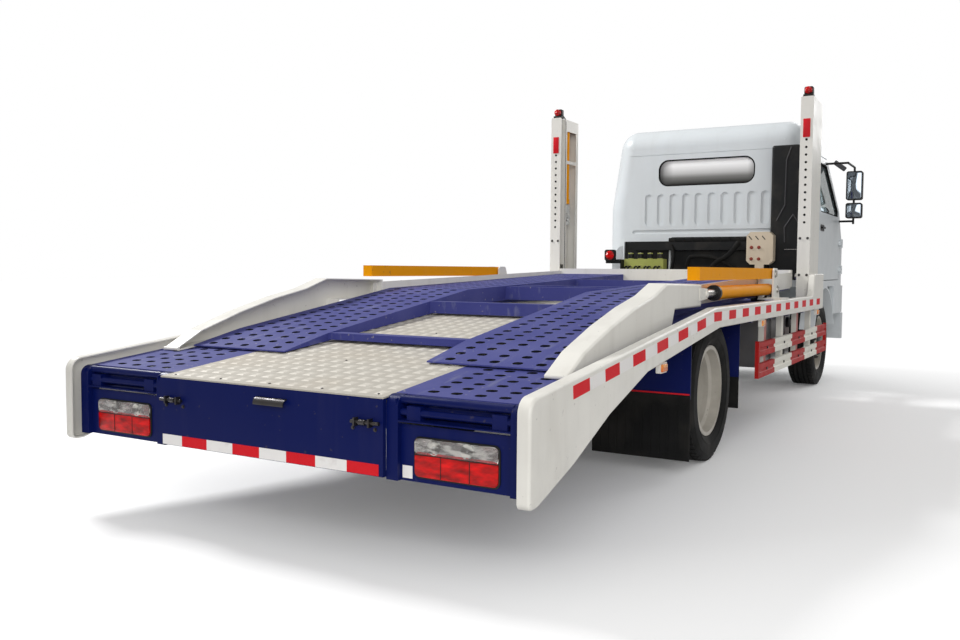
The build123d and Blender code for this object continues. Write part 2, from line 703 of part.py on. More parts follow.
def guard_section(z):
    """Section of a guard bar with its middle groove, as (sideways place, height)."""
    low, high = z + guard_bar_height / 2 - 8, z + guard_bar_height / 2 + 8
    inner = guard_face - guard_thickness
    return [(guard_face, z), (guard_face, low - 6), (guard_face - groove_depth, low),
            (guard_face - groove_depth, high), (guard_face, high + 6), (guard_face, z + guard_bar_height),
            (inner, z + guard_bar_height), (inner, z)]


with BuildPart() as side_guards:
    for z in guard_bottoms:
        prism(guard_section(z), cross_plane(guard_stations[0]), guard_stations[1] - guard_stations[0])
    for station in (guard_stations[0] + 15, guard_stations[1] - 15):
        block((station - 15, station + 15), (guard_face - guard_thickness, guard_face),
              (guard_bottoms[0], guard_bottoms[1] + guard_bar_height + 10))
    for station in hanger_stations:
        block((station - 30, station + 30),
              (guard_face - guard_thickness - 40, guard_face - guard_thickness),
              (guard_bottoms[0], kink_height - plate - bearer_depth))
    mirror(about=Plane.XZ)
save(side_guards, "side_guards")


def rail_bottom(station):
    """Height of the side rail's lower edge forward of its deep part."""
    (low_station, low), (level_station, level) = rail_side[4], rail_side[5]
    if station > level_station:
        return level
    return low + (station - low_station) * (level - low) / (level_station - low_station)


# Marker lamps hang from the side rails' lower edges
marker_stations = [rear_axle_station - 1260, rear_axle_station + 700, deck_front_station - 160]
marker_half_length = 45
marker_height = 50
with BuildPart() as marker_lamps:
    for station in marker_stations:
        seat = rail_bottom(station - marker_half_length)
        block((station - marker_half_length, station + marker_half_length),
              (half_width - 36, half_width - 6),
              (seat - marker_height, seat))
    mirror(about=Plane.XZ)
save(marker_lamps, "marker_lamps")

# Mudguards before and behind the rear wheels, and the flaps they carry
flap_y = (frame_width / 2 + 135, rear_tyre_outer + 20)
guard_gap = 90
mudguard_bottom = axle_height + 11
flap_lap = 20
rear_plate = rear_axle_station - tyre_radius - guard_gap
front_plate = rear_axle_station + tyre_radius + guard_gap
with BuildPart() as mudguards:
    for station in (rear_plate, front_plate):
        block((station, station + plate), flap_y, (mudguard_bottom, deck_height(station) - plate))
    mirror(about=Plane.XZ)
save(mudguards, "mudguards")

flap_bottoms = ((rear_plate, 90), (front_plate, 250))
with BuildPart() as mud_flaps:
    for station, bottom in flap_bottoms:
        block((station - plate, station), flap_y, (bottom, mudguard_bottom + flap_lap))
    mirror(about=Plane.XZ)
save(mud_flaps, "mud_flaps")

# Rear axle: banjo housing, spindles, pinion nose and the propeller shaft
rear_axle_tube = 62
rear_wheel_middle = rear_tyre_outer - tyre_width / 2 - twin_pitch / 2
gearbox_rear_station = cab_rear_station - 530
with BuildPart() as rear_axle:
    round_bar(side_plane(0), (rear_axle_station, axle_height), rear_axle_tube, rear_wheel_middle - 290,
              both=True)
    round_bar(side_plane(0), (rear_axle_station, axle_height), spindle_radius, rear_wheel_middle + 120,
              both=True)
    with BuildSketch(Plane(origin=(rear_x + rear_axle_station, 0, axle_height), x_dir=(1, 0, 0),
                           z_dir=(0, 0, 1))):
        with BuildLine():
            Line((0, -150), (0, 150))
            ThreePointArc((0, 150), (190, 0), (0, -150))
        make_face()
    revolve(axis=Axis((rear_x + rear_axle_station, 0, axle_height), (0, 1, 0)))
    round_bar(cross_plane(rear_axle_station + 150), (0, axle_height), 55, 190)
    round_bar(cross_plane(rear_axle_station + 330), (0, axle_height + 20), 42,
              gearbox_rear_station - rear_axle_station - 330)
save(rear_axle, "rear_axle")

# Front axle: a beam between the kingpins
kingpin_radius = 18
kingpin_boss = 40
beam_section = (90, 90)
axle_beam_top = axle_height + 10
axle_beam_bottom = axle_beam_top - beam_section[1]
with BuildPart() as front_axle:
    block((front_axle_station - beam_section[0] / 2, front_axle_station + beam_section[0] / 2),
          (-kingpin_offset + 30, kingpin_offset - 30), (axle_beam_bottom, axle_beam_top))
    for side in (-1, 1):
        round_bar(level_plane(axle_beam_bottom), (front_axle_station, side * kingpin_offset), kingpin_boss,
                  beam_section[1])
        round_bar(level_plane(axle_beam_bottom - 50), (front_axle_station, side * kingpin_offset),
                  kingpin_radius,
                  beam_section[1] + 110)
save(front_axle, "front_axle")

# Leaf springs: nested leaves on one arc, clamped to the axles, with their eyes under the frame
leaf_thickness = 14
leaf_width = 70
leaf_steps = (1.0, 0.8, 0.6, 0.42)
springs = [  # (axle station, half span, height of the axle's seat)
    (front_axle_station, 620, axle_beam_top), (rear_axle_station, 700, axle_height + rear_axle_tube)]


def leaf(station, reach, radius, centre_height):
    """One curved leaf on an arc about a centre above the axle."""
    with BuildSketch(side_plane(rail_middle + leaf_width / 2)) as side_view:
        with BuildLine():
            angle = asin(reach / radius)
            ends = []
            for r in (radius, radius + leaf_thickness):
                left = (station - r * sin(angle), centre_height - r * cos(angle))
                right = (station + r * sin(angle), centre_height - r * cos(angle))
                ThreePointArc(left, (station, centre_height - r), right)
                ends.append((left, right))
            Line(ends[0][0], ends[1][0])
            Line(ends[0][1], ends[1][1])
        make_face()
    extrude(side_view.sketch, amount=leaf_width)


with BuildPart() as leaf_springs:
    for station, half_span, seat in springs:
        pack_height = leaf_thickness * len(leaf_steps)
        rise = frame_bottom - 24 - seat - pack_height
        arc_radius = (half_span ** 2 + rise ** 2) / (2 * rise)
        for number, share in enumerate(leaf_steps):
            leaf(station, half_span * share, arc_radius + number * leaf_thickness,
                 seat + pack_height + arc_radius)
        for end in (-1, 1):
            eye = station + end * half_span
            block((eye - 26, eye + 26), (rail_middle - leaf_width / 2, rail_middle + leaf_width / 2),
                  (frame_bottom - 40, frame_bottom))
        block((station - 70, station + 70), (rail_middle - 44, rail_middle + 44),
              (seat, seat + pack_height + 12))
    mirror(about=Plane.XZ)
save(leaf_springs, "leaf_springs")

# Engine and gearbox as plain masses with their bearer
engine_blocks = [  # (first station, last station, half width, bottom, top)
    (front_axle_station - 550, front_axle_station + 550, 300, frame_top - 280, cab_floor - 8),
    (gearbox_rear_station, front_axle_station - 550, 180, frame_top - 390, frame_top - 20),
    (front_axle_station - 150, front_axle_station - 70, frame_inner, frame_bottom, frame_bottom + 70)]
with BuildPart() as engine:
    for first, last, half, bottom, top in engine_blocks:
        block((first, last), (-half, half), (bottom, top))
save(engine, "engine")

# Fuel tank on the right, battery box on the left
bearer_bottom = kink_height - plate - bearer_depth
side_gear_station = rear_axle_station + 1620
tank_section = (520, 400)
tank_length = 900
with BuildPart() as fuel_tank:
    with BuildSketch(cross_plane(side_gear_station)):
        with Locations((-(frame_width / 2 + 85 + tank_section[0] / 2),
                        bearer_bottom - tank_section[1] / 2)):
            RectangleRounded(tank_section[0], tank_section[1], 70)
    extrude(amount=tank_length)
    for strap in (0.2, 0.8):
        with BuildSketch(cross_plane(side_gear_station + strap * tank_length - 20)):
            with Locations((-(frame_width / 2 + 85 + tank_section[0] / 2),
                            bearer_bottom - tank_section[1] / 2)):
                RectangleRounded(tank_section[0] + 8, tank_section[1] + 8, 74)
                RectangleRounded(tank_section[0] - 8, tank_section[1] - 8, 66, mode=Mode.SUBTRACT)
            with Locations((0, bearer_bottom + 50)):
                Rectangle(2 * half_width, 100, mode=Mode.SUBTRACT)
        extrude(amount=40)
save(fuel_tank, "fuel_tank")

with BuildPart() as battery_box:
    block((side_gear_station, side_gear_station + 700), (frame_width / 2 + 45, frame_width / 2 + 595),
          (bearer_bottom - 350, bearer_bottom))
    fillet(battery_box.edges().filter_by(Axis.Z), 25)
save(battery_box, "battery_box")

# Cab. The form is a side outline crossed with a front outline, rounded along every edge above the rear sill
cab_top = cab_floor + cab_height
cab_rear_bottom = cab_floor + 400
cab_belt = cab_floor + 770
cab_lean = 120
screen_top_station = cab_rear_station + 1090
screen_foot = (cab_face_station - 130, cab_floor + 660)
brow_height = cab_floor + 500
sill_station = cab_rear_station + 210


def cab_form(inset):
    """Solid form of the cab, a given distance inside its outer skin."""
    side_view = [(cab_rear_station + inset, cab_rear_bottom), (cab_rear_station + inset, cab_top - inset),
                 (screen_top_station - 0.3 * inset, cab_top - inset),
                 (screen_foot[0] - 1.2 * inset, screen_foot[1]),
                 (cab_face_station - inset, brow_height), (cab_face_station - inset, cab_floor + inset),
                 (sill_station + inset, cab_floor + inset)]
    half = cab_half_width - inset
    front_view = [(half, cab_floor - 1), (half, cab_belt), (half - cab_lean, cab_top),
                  (cab_lean - half, cab_top),
                  (-half, cab_belt), (-half, cab_floor - 1)]
    with BuildPart() as form:
        prism(side_view, side_plane(0), half, both=True)
        prism(front_view, cross_plane(cab_rear_station - 1), cab_face_station - cab_rear_station + 2,
              mode=Mode.INTERSECT)
        upper_edges = form.edges().filter_by(lambda edge: edge.bounding_box().max.Z > cab_rear_bottom + 10)
        fillet(upper_edges, cab_corner - inset)
    return form.part


def cab_side(height):
    """Half width of the cab at a height."""
    return cab_half_width - max(0, height - cab_belt) * cab_lean / (cab_top - cab_belt)


cab_outer = cab_form(0)
cab_inner = cab_form(cab_wall)
door_rear = cab_rear_station + 250
door_front = cab_face_station - 320
door_side = [(door_rear, cab_floor + 60), (door_rear, cab_top - 300), (door_rear + 70, cab_top - 270),
             (screen_top_station - 15, cab_top - 270), (door_front, screen_foot[1]),
             (door_front, cab_floor + 60)]
door_rounds = [(0, 40), (2, 40), (3, 40), (5, 40)]
door_reach = (cab_half_width - cab_lean - cab_wall - 10, cab_half_width + 10)
door_window = [(door_rear + 90, cab_belt - 50), (door_rear + 90, cab_top - 340),
               (screen_top_station - 70, cab_top - 340),
               (door_front - 160, cab_belt + 10), (door_front - 160, cab_belt - 50)]
window_rounds = [(0, 40), (1, 50), (2, 40), (3, 30), (4, 30)]
rear_window = (950, 262, 100)
rear_window_height = cab_top - 448
screen_view = [(880, screen_foot[1] + 70), (790, cab_top - 150), (-790, cab_top - 150),
               (-880, screen_foot[1] + 70)]
screen_rounds = [(0, 70), (1, 70), (2, 70), (3, 70)]
hinge_station = door_front + door_gap / 2
hinge_y = cab_half_width + 16
hinge_heights = (cab_floor + 170, cab_floor + 450)
hinge_pin_radius = 7
knuckle_half = 19
leaf_reach = (cab_half_width - 5, hinge_y + 7)


def rear_window_cut(first, depth, mode):
    """Extrude the rear window's outline forward."""
    with BuildSketch(cross_plane(first)) as pane:
        with Locations((0, rear_window_height)):
            RectangleRounded(*rear_window)
    extrude(pane.sketch, amount=depth, mode=mode)


# Cab shell: walls with openings, skirt, fenders, pressed flutes and the roof's seam
skirt_bottom = frame_top - 110
skirt_station = front_axle_station + 500
arch_radius = tyre_radius + 126
fender_reach = 140
fender_thickness = 20
fender_end_rise = 160
flute_count = 10
flute_pitch = 127.6
flute_height = 310
flute_width = 76
flute_depth = 9
flute_middle = cab_top - 810
swage_height = cab_top - 1030
seam_height = cab_top - 265
with BuildPart() as cab_shell:
    add(cab_outer)
    add(cab_inner, mode=Mode.SUBTRACT)
    for side in (-1, 1):
        side_prism(door_side, side, *door_reach, rounds=door_rounds, mode=Mode.SUBTRACT)
    rear_window_cut(cab_rear_station - 5, cab_wall + 60, Mode.SUBTRACT)
    prism(screen_view, cross_plane(screen_top_station), cab_face_station - screen_top_station + 5,
          rounds=screen_rounds, mode=Mode.SUBTRACT)
    with BuildSketch(cross_plane(cab_rear_station - 1)):
        with Locations((0, flute_middle)):
            with GridLocations(flute_pitch, 0, flute_count, 1):
                SlotOverall(flute_height, flute_width, rotation=90)
        with Locations((0, swage_height)):
            SlotOverall(1480, 40)
    extrude(amount=flute_depth + 1, mode=Mode.SUBTRACT)
    with BuildSketch(cross_plane(cab_rear_station - 1)):
        with Locations((0, seam_height)):
            Rectangle(2 * cab_half_width + 10, 6)
    extrude(amount=5, mode=Mode.SUBTRACT)
    block((frame_front_station + 25, cab_face_station), (-cab_half_width + 60, cab_half_width - 60),
          (skirt_bottom, cab_floor))
    for side in (-1, 1):
        fender_ys = (side * (cab_half_width - fender_reach), side * cab_half_width)
        with BuildSketch(side_plane(max(fender_ys))):
            with Locations((front_axle_station, axle_height)):
                Circle(arch_radius + fender_thickness)
                Circle(arch_radius, mode=Mode.SUBTRACT)
            with Locations((front_axle_station, axle_height + fender_end_rise - arch_radius)):
                Rectangle(3 * arch_radius, 2 * arch_radius, mode=Mode.SUBTRACT)
        extrude(amount=fender_reach)
        side_prism([(skirt_station, cab_floor), (skirt_station, skirt_bottom),
                    (cab_face_station - 60, skirt_bottom),
                    (cab_face_station - 60, cab_floor)], side, cab_half_width - cab_wall, cab_half_width)
    round_bar(side_plane(0), (front_axle_station, axle_height), arch_radius, cab_half_width + 1, both=True,
              mode=Mode.SUBTRACT)
    for side in (-1, 1):
        for z in hinge_heights:
            round_bar(level_plane(z - 45), (hinge_station, side * hinge_y), hinge_pin_radius, 90)
            for low in (z - 45, z + 20):
                block((hinge_station - 7, hinge_station + 45), (side * leaf_reach[0], side * leaf_reach[1]),
                      (low, low + 25))
save(cab_shell, "cab_shell")

# Glass: panes cut from one thin skin inside the cab's outer form
glass_inset = 20
glass_thickness = 6
glass_outer = cab_form(glass_inset)
glass_inner = cab_form(glass_inset + glass_thickness)
with BuildPart() as rear_pane:
    add(glass_outer)
    rear_window_cut(cab_rear_station - 5, cab_wall + 60, Mode.INTERSECT)
    add(glass_inner, mode=Mode.SUBTRACT)
with BuildPart() as screen_pane:
    add(glass_outer)
    prism(screen_view, cross_plane(screen_top_station), cab_face_station - screen_top_station + 5,
          rounds=screen_rounds, mode=Mode.INTERSECT)
    add(glass_inner, mode=Mode.SUBTRACT)
with BuildPart() as cab_glass:
    add(rear_pane.part)
    add(screen_pane.part)
save(cab_glass, "cab_glass")

# Doors with their glass and mirrors
mirror_y = (hinge_y + 49, hinge_y + 209)
mirror_stations = (cab_face_station - 450, cab_face_station - 380)
mirror_heads = [(900, 300), (710, 160)]  # (lower edge above the floor, height)
mirror_bar_station = sum(mirror_stations) / 2
mirror_bar_y = hinge_y + 124
mirror_tube = 11
mirror_feet = [(mirror_bar_station, cab_floor + 680), (cab_rear_station + 970, cab_floor + 1240)]
for name, side in (("left", 1), ("right", -1)):
    with BuildPart() as door:
        add(cab_outer)
        add(cab_inner, mode=Mode.SUBTRACT)
        side_prism(door_side, side, *door_reach, rounds=door_rounds, inset=door_gap, mode=Mode.INTERSECT)
        side_prism(door_window, side, *door_reach, rounds=window_rounds, mode=Mode.SUBTRACT)
        for z in hinge_heights:
            round_bar(level_plane(z - knuckle_half), (hinge_station, side * hinge_y), 14, 2 * knuckle_half)
            block((hinge_station - 60, hinge_station - 5), (side * leaf_reach[0], side * leaf_reach[1]),
                  (z - knuckle_half, z + knuckle_half))
            round_bar(level_plane(z - knuckle_half - 6), (hinge_station, side * hinge_y),
                      hinge_pin_radius + running_gap, 2 * knuckle_half + 12, mode=Mode.SUBTRACT)
    save(door, f"door_{name}")
    with BuildPart() as door_glass:
        add(glass_outer)
        side_prism(door_window, side, *door_reach, rounds=window_rounds, mode=Mode.INTERSECT)
        add(glass_inner, mode=Mode.SUBTRACT)
    save(door_glass, f"door_glass_{name}")
    with BuildPart() as mirror_set:
        for low, height in mirror_heads:
            block(mirror_stations, (side * mirror_y[0], side * mirror_y[1]),
                  (cab_floor + low, cab_floor + low + height))
        fillet(mirror_set.edges().filter_by(Axis.X), 22)
        upright_foot, upper_foot = mirror_feet
        round_bar(level_plane(upright_foot[1] - 30), (mirror_bar_station, side * mirror_bar_y), mirror_tube,
                  upper_foot[1] - upright_foot[1] + 30)
        for station, height in mirror_feet:
            cross_bar(station, height, mirror_tube, side * cab_side(height - mirror_tube),
                      side * mirror_bar_y)
        round_bar(cross_plane(upper_foot[0] - mirror_tube), (side * mirror_bar_y, upper_foot[1]),
                  mirror_tube,
                  mirror_bar_station - upper_foot[0] + mirror_tube)
    save(mirror_set, f"mirrors_{name}")

# Bumper, headlamps and grille
bumper_bottom = frame_top - 400
bumper_top = frame_top - 120
with BuildPart() as bumper:
    block((overall_length - 150, overall_length), (-cab_half_width, cab_half_width),
          (bumper_bottom, bumper_top))
    fillet(bumper.edges().filter_by(Axis.Z).sort_by(Axis.X)[-2:], 80)
    block((overall_length - 120, overall_length + 1), (-400, 400),
          (bumper_bottom + 70, bumper_bottom + 170),
          mode=Mode.SUBTRACT)
    block((frame_front_station, overall_length - 149), (-frame_width / 2, frame_width / 2),
          (frame_bottom + 10, bumper_top - 5))
save(bumper, "bumper")

headlamp_y = (640, 900)
headlamp_heights = (frame_top - 80, frame_top + 100)
with BuildPart() as headlamps:
    block((cab_face_station, cab_face_station + 45), headlamp_y, headlamp_heights)
    fillet(headlamps.faces().sort_by(Axis.X)[-1].edges(), 20)
    mirror(about=Plane.XZ)
save(headlamps, "headlamps")

slat_count = 4
slat_pitch = 60
with BuildPart() as grille:
    for row in range(slat_count):
        low = cab_floor + 70 + row * slat_pitch
        prism([(cab_face_station, low), (cab_face_station + 38, low + 6), (cab_face_station + 38, low + 22),
               (cab_face_station, low + 34)], side_plane(0), 560, both=True)
save(grille, "grille")

# Seats: cushion and back for each place
seat_table = [  # (middle, width)
    (560, 480), (0, 420), (-560, 480)]
seat_rear = cab_rear_station + 160
seat_side = [(seat_rear, cab_floor + 1020), (seat_rear + 120, cab_floor + 1020),
             (seat_rear + 240, cab_floor + 480),
             (seat_rear + 670, cab_floor + 470), (seat_rear + 670, cab_floor + cab_wall),
             (seat_rear + 120, cab_floor + cab_wall)]
with BuildPart() as seats:
    for middle, width in seat_table:
        prism(seat_side, side_plane(middle + width / 2), width, rounds=[(0, 40), (1, 40), (2, 50), (3, 50)])
save(seats, "seats")

# Dashboard with the steering column and wheel
dash_top = cab_floor + 620
dash_side = [(door_front - 200, cab_floor + 220), (door_front - 200, dash_top - 40),
             (door_front + 40, dash_top),
             (cab_face_station - cab_wall - 150, dash_top), (cab_face_station - cab_wall, cab_floor + 420),
             (cab_face_station - cab_wall, cab_floor + 220)]
wheel_plane = Plane(origin=(rear_x + door_front - 360, 560, cab_floor + 555), z_dir=(0.5, 0, -0.8))
with BuildPart() as dashboard:
    prism(dash_side, side_plane(0), cab_half_width - cab_wall - 40, both=True, rounds=[(1, 40)])
    add(cab_inner, mode=Mode.INTERSECT)
    round_bar(wheel_plane, (0, 0), 25, 270)
    with BuildSketch(wheel_plane):
        Circle(215)
        Circle(185, mode=Mode.SUBTRACT)
        Rectangle(400, 40)
    extrude(amount=25)
save(dashboard, "dashboard")

# Air intake tower behind the cab with its low duct, control box and valve block on the rack
tower_bottom = cab_floor + 70
tower_outer = cab_half_width - 35
tower_inner = tower_outer - 330
tower_top = cab_top - 255
tower_side = [(-tower_outer, tower_bottom), (-tower_outer, tower_top - 245),
              (-(tower_outer - 75), tower_top),
              (-tower_inner, tower_top), (-tower_inner, tower_bottom)]
duct_height = cab_rear_bottom - 50
with BuildPart() as intake_tower:
    prism(tower_side, cross_plane(cab_rear_station - 130), 130, rounds=[(2, 40), (3, 20)])
    fillet(intake_tower.faces().sort_by(Axis.X)[0].edges().filter_by(Axis.Z), 25)
    block((cab_rear_station - 90, cab_rear_station), (-(tower_inner + 1), cab_half_width - 320),
          (duct_height, duct_height + 80))
save(intake_tower, "intake_tower")

box_middle = -(cab_half_width - 420)
with BuildPart() as control_box:
    with BuildSketch(cross_plane(rack_station - 10)):
        with Locations((box_middle, rack_height + 210)):
            Rectangle(240, 300)
    extrude(amount=100)
    chamfer(control_box.edges().filter_by(Axis.X), 35)
    block((rack_station - 10, rack_station + 10), (box_middle - 40, box_middle + 40),
          (rack_height, rack_height + 70))
save(control_box, "control_box")

valve_y = (cab_half_width - 720, cab_half_width - 320)
with BuildPart() as valve_block:
    block((rack_station - 50, rack_station + 50), valve_y, (rack_height, rack_height + 110))
    for section in range(4):
        middle = valve_y[0] + 50 + section * 100
        round_bar(level_plane(rack_height + 109), (rack_station, middle), 26, 60)
        cross_bar(rack_station - 20, rack_height + 60, 12, middle - 18, middle + 18)
save(valve_block, "valve_block")

# Wheels. Profiles are (distance from the axle, offset from the tyre's middle)
bead_half = tyre_width / 2 - 32
flange_height = 14
rim_wall = 10
tread_half = tyre_width / 2 - 28
disc_thickness = 14
hand_hole_radius = 24
hand_hole_circle = 182
hand_hole_count = 8


def mirrored(profile):
    """A closed profile from its outer half."""
    return profile + [(distance, -reach) for distance, reach in reversed(profile)]


tyre_profile = mirrored([(rim_radius, bead_half), (rim_radius + flange_height, bead_half),
                         (rim_radius + 60, tyre_width / 2 - 4), (rim_radius + 90, tyre_width / 2),
                         (tyre_radius - 28, tyre_width / 2 - 10), (tyre_radius - 6, tread_half + 8),
                         (tyre_radius, tread_half)])


def turned(centre_y, profile, station, mode=Mode.ADD):
    """Turn a profile about a wheel's axle."""
    centre = (rear_x + station, centre_y, axle_height)
    with BuildSketch(Plane(origin=centre, x_dir=(1, 0, 0), z_dir=(0, 0, 1))) as half:
        with BuildLine():
            Polyline(*profile, close=True)
        make_face()
    revolve(half.sketch, axis=Axis(centre, (0, 1, 0)), mode=mode)


def rim(centre_y, station):
    """A drop-centre rim."""
    section = [(rim_radius - rim_wall, bead_half + 8), (rim_radius + flange_height - 1, bead_half + 8),
               (rim_radius + flange_height - 1, bead_half), (rim_radius, bead_half), (rim_radius, 45),
               (rim_radius - 20, 30), (rim_radius - 20, -30), (rim_radius, -45), (rim_radius, -bead_half),
               (rim_radius + flange_height - 1, -bead_half),
               (rim_radius + flange_height - 1, -bead_half - 8),
               (rim_radius - rim_wall, -bead_half - 8), (rim_radius - rim_wall, -45),
               (rim_radius - 30, -30),
               (rim_radius - 30, 30), (rim_radius - rim_wall, 45)]
    turned(centre_y, section, station)


def hand_holes(centre_y, station):
    """Hand holes through a wheel's disc."""
    with BuildSketch(side_plane(centre_y + 60)) as holes:
        with Locations((station, axle_height)):
            with PolarLocations(hand_hole_circle, hand_hole_count):
                Circle(hand_hole_radius)
    extrude(holes.sketch, amount=120, mode=Mode.SUBTRACT)


for name, side in (("left", 1), ("right", -1)):
    outer = side * (rear_tyre_outer - tyre_width / 2)
    inner = side * (rear_tyre_outer - tyre_width / 2 - twin_pitch)
    middle = (outer + inner) / 2
    with BuildPart() as rear_tyres:
        for y in (outer, inner):
            turned(y, tyre_profile, rear_axle_station)
    save(rear_tyres, f"rear_tyres_{name}")
    with BuildPart() as rear_wheel:
        turned(middle, [(hub_radius, -disc_thickness), (hub_radius, disc_thickness),
                        (rim_radius - 60, disc_thickness),
                        (rim_radius - 30, twin_pitch / 2), (rim_radius - 30, -twin_pitch / 2),
                        (rim_radius - 60, -disc_thickness)], rear_axle_station)
        turned(middle, [(rim_radius - 40, twin_pitch / 2 + 1), (rim_radius - 50, disc_thickness + 60),
                        (rim_radius - 50, -disc_thickness - 60), (rim_radius - 40, -twin_pitch / 2 - 1),
                        (rim_radius - 29, 0)], rear_axle_station)
        hand_holes(middle, rear_axle_station)
        for y in (outer, inner):
            rim(y, rear_axle_station)
        turned(middle, [(spindle_radius + running_gap, side * 120),
                        (spindle_radius + running_gap, side * -120),
                        (hub_radius, side * -120), (hub_radius, side * 40), (hub_radius - 30, side * 60),
                        (hub_radius - 40, side * 120)], rear_axle_station)
    save(rear_wheel, f"rear_wheel_{name}")
    front_y = side * (front_tyre_outer - tyre_width / 2)
    with BuildPart() as front_tyre:
        turned(front_y, tyre_profile, front_axle_station)
    save(front_tyre, f"front_tyre_{name}")
    with BuildPart() as front_wheel:
        turned(front_y, [(hub_radius - 10, side * 60), (hub_radius - 10, side * 74),
                         (rim_radius - 95, side * 74),
                         (rim_radius - 22, side * 24), (rim_radius - 22, side * 8),
                         (rim_radius - 40, side * 8),
                         (rim_radius - 98, side * 60)], front_axle_station)
        hand_holes(front_y, front_axle_station)
        rim(front_y, front_axle_station)
        turned(front_y, [(spindle_radius + running_gap, side * 10),
                         (spindle_radius + running_gap, side * 100),
                         (hub_radius - 50, side * 100), (hub_radius - 40, side * 76),
                         (hub_radius, side * 74),
                         (hub_radius, side * 50), (hub_radius - 20, side * 10)], front_axle_station)
    save(front_wheel, f"front_wheel_{name}")

# Steering knuckles: forks round the axle's ends, spindles and track-rod arms
fork_low = (axle_beam_bottom - 40, axle_beam_bottom - 10)
fork_high = (axle_beam_top + 10, axle_beam_top + 45)
fork_web = (kingpin_offset + 50, kingpin_offset + 80)
arm_length = 180
arm_thickness = 25
arm_top = fork_low[0] + arm_thickness
for name, side in (("left", 1), ("right", -1)):
    king_y = side * kingpin_offset
    with BuildPart() as knuckle:
        for low, high in (fork_low, fork_high):
            round_bar(level_plane(low), (front_axle_station, king_y), kingpin_boss, high - low)
            block((front_axle_station - 35, front_axle_station + 35),
                  (king_y, side * (kingpin_offset + 60)),
                  (low, high))
        block((front_axle_station - 35, front_axle_station + 35), (side * fork_web[0], side * fork_web[1]),
              (fork_low[0], fork_high[1]))
        round_bar(side_plane(side * (kingpin_offset + 150)), (front_axle_station, axle_height),
                  spindle_radius, 85,
                  both=True)
        block((front_axle_station - arm_length - 20, front_axle_station), (king_y - 20, king_y + 20),
              (fork_low[0], arm_top))
        round_bar(level_plane(fork_low[0] - 1), (front_axle_station, king_y), kingpin_radius + running_gap,
                  190,
                  mode=Mode.SUBTRACT)
    save(knuckle, f"knuckle_{name}")

# Track rod under the knuckles' arms
rod_top = fork_low[0] - running_gap
with BuildPart() as track_rod:
    for side in (-1, 1):
        round_bar(level_plane(rod_top - 30), (front_axle_station - arm_length, side * kingpin_offset), 24,
                  30)
    round_bar(side_plane(0), (front_axle_station - arm_length, rod_top - 15), 12, kingpin_offset - 18,
              both=True)
save(track_rod, "track_rod")
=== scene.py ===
"""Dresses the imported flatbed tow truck: finishes, lamps, tape, treads, small fittings, seats, floor and camera.

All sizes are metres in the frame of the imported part: X forward, Y to the left, Z up, ground at z = 0.
"""
import json
from math import cos, pi, radians, sin, tan

import bmesh
import bpy
from mathutils import Matrix, Vector


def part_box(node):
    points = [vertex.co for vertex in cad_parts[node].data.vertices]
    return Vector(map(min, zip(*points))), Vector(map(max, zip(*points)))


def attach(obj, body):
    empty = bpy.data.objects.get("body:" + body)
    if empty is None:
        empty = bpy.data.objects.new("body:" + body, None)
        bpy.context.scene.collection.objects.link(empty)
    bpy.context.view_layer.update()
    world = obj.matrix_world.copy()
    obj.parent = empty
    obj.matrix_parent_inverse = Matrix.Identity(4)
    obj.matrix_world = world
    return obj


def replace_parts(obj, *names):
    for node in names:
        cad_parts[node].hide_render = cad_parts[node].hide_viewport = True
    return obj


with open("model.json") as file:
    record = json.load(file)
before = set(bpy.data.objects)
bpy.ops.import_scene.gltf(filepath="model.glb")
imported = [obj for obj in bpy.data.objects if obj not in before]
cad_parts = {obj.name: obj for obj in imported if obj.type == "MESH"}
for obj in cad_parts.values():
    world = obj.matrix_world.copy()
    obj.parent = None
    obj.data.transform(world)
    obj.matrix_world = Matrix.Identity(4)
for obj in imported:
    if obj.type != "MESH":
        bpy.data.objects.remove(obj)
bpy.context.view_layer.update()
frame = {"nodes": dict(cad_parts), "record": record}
nodes = frame["nodes"]

# ---- places taken from the frame

rear_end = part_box("side_rails")[0].x
half_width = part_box("side_rails")[1].y
deck_slope = radians(6.1)
kink_x = rear_end + 2.187
kink_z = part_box("tread_plate")[1].z
front_axle_x = sum(corner.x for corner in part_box("front_wheel_left")) / 2
rear_axle_x = sum(corner.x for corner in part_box("rear_wheel_left")) / 2
axle_z = sum(corner.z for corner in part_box("front_wheel_left")) / 2
post_low, post_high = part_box("lift_posts")
cab_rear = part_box("cab_shell")[0].x
beam_low, beam_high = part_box("rear_beam")
SIDES = (("left", 1), ("right", -1))


def at(station):
    """The x of a place that many millimetres forward of the rear end."""
    return rear_end + station / 1000


def deck(x):
    """Height of the lower deck's surface."""
    return kink_z + min(x - kink_x, 0) * tan(deck_slope)


# ---- finishes

def shade(red, green, blue):
    """A colour as it shows on a screen, turned into the shader's linear values."""
    return tuple(((part + 0.055) / 1.055) ** 2.4 for part in (red, green, blue)) + (1.0,)


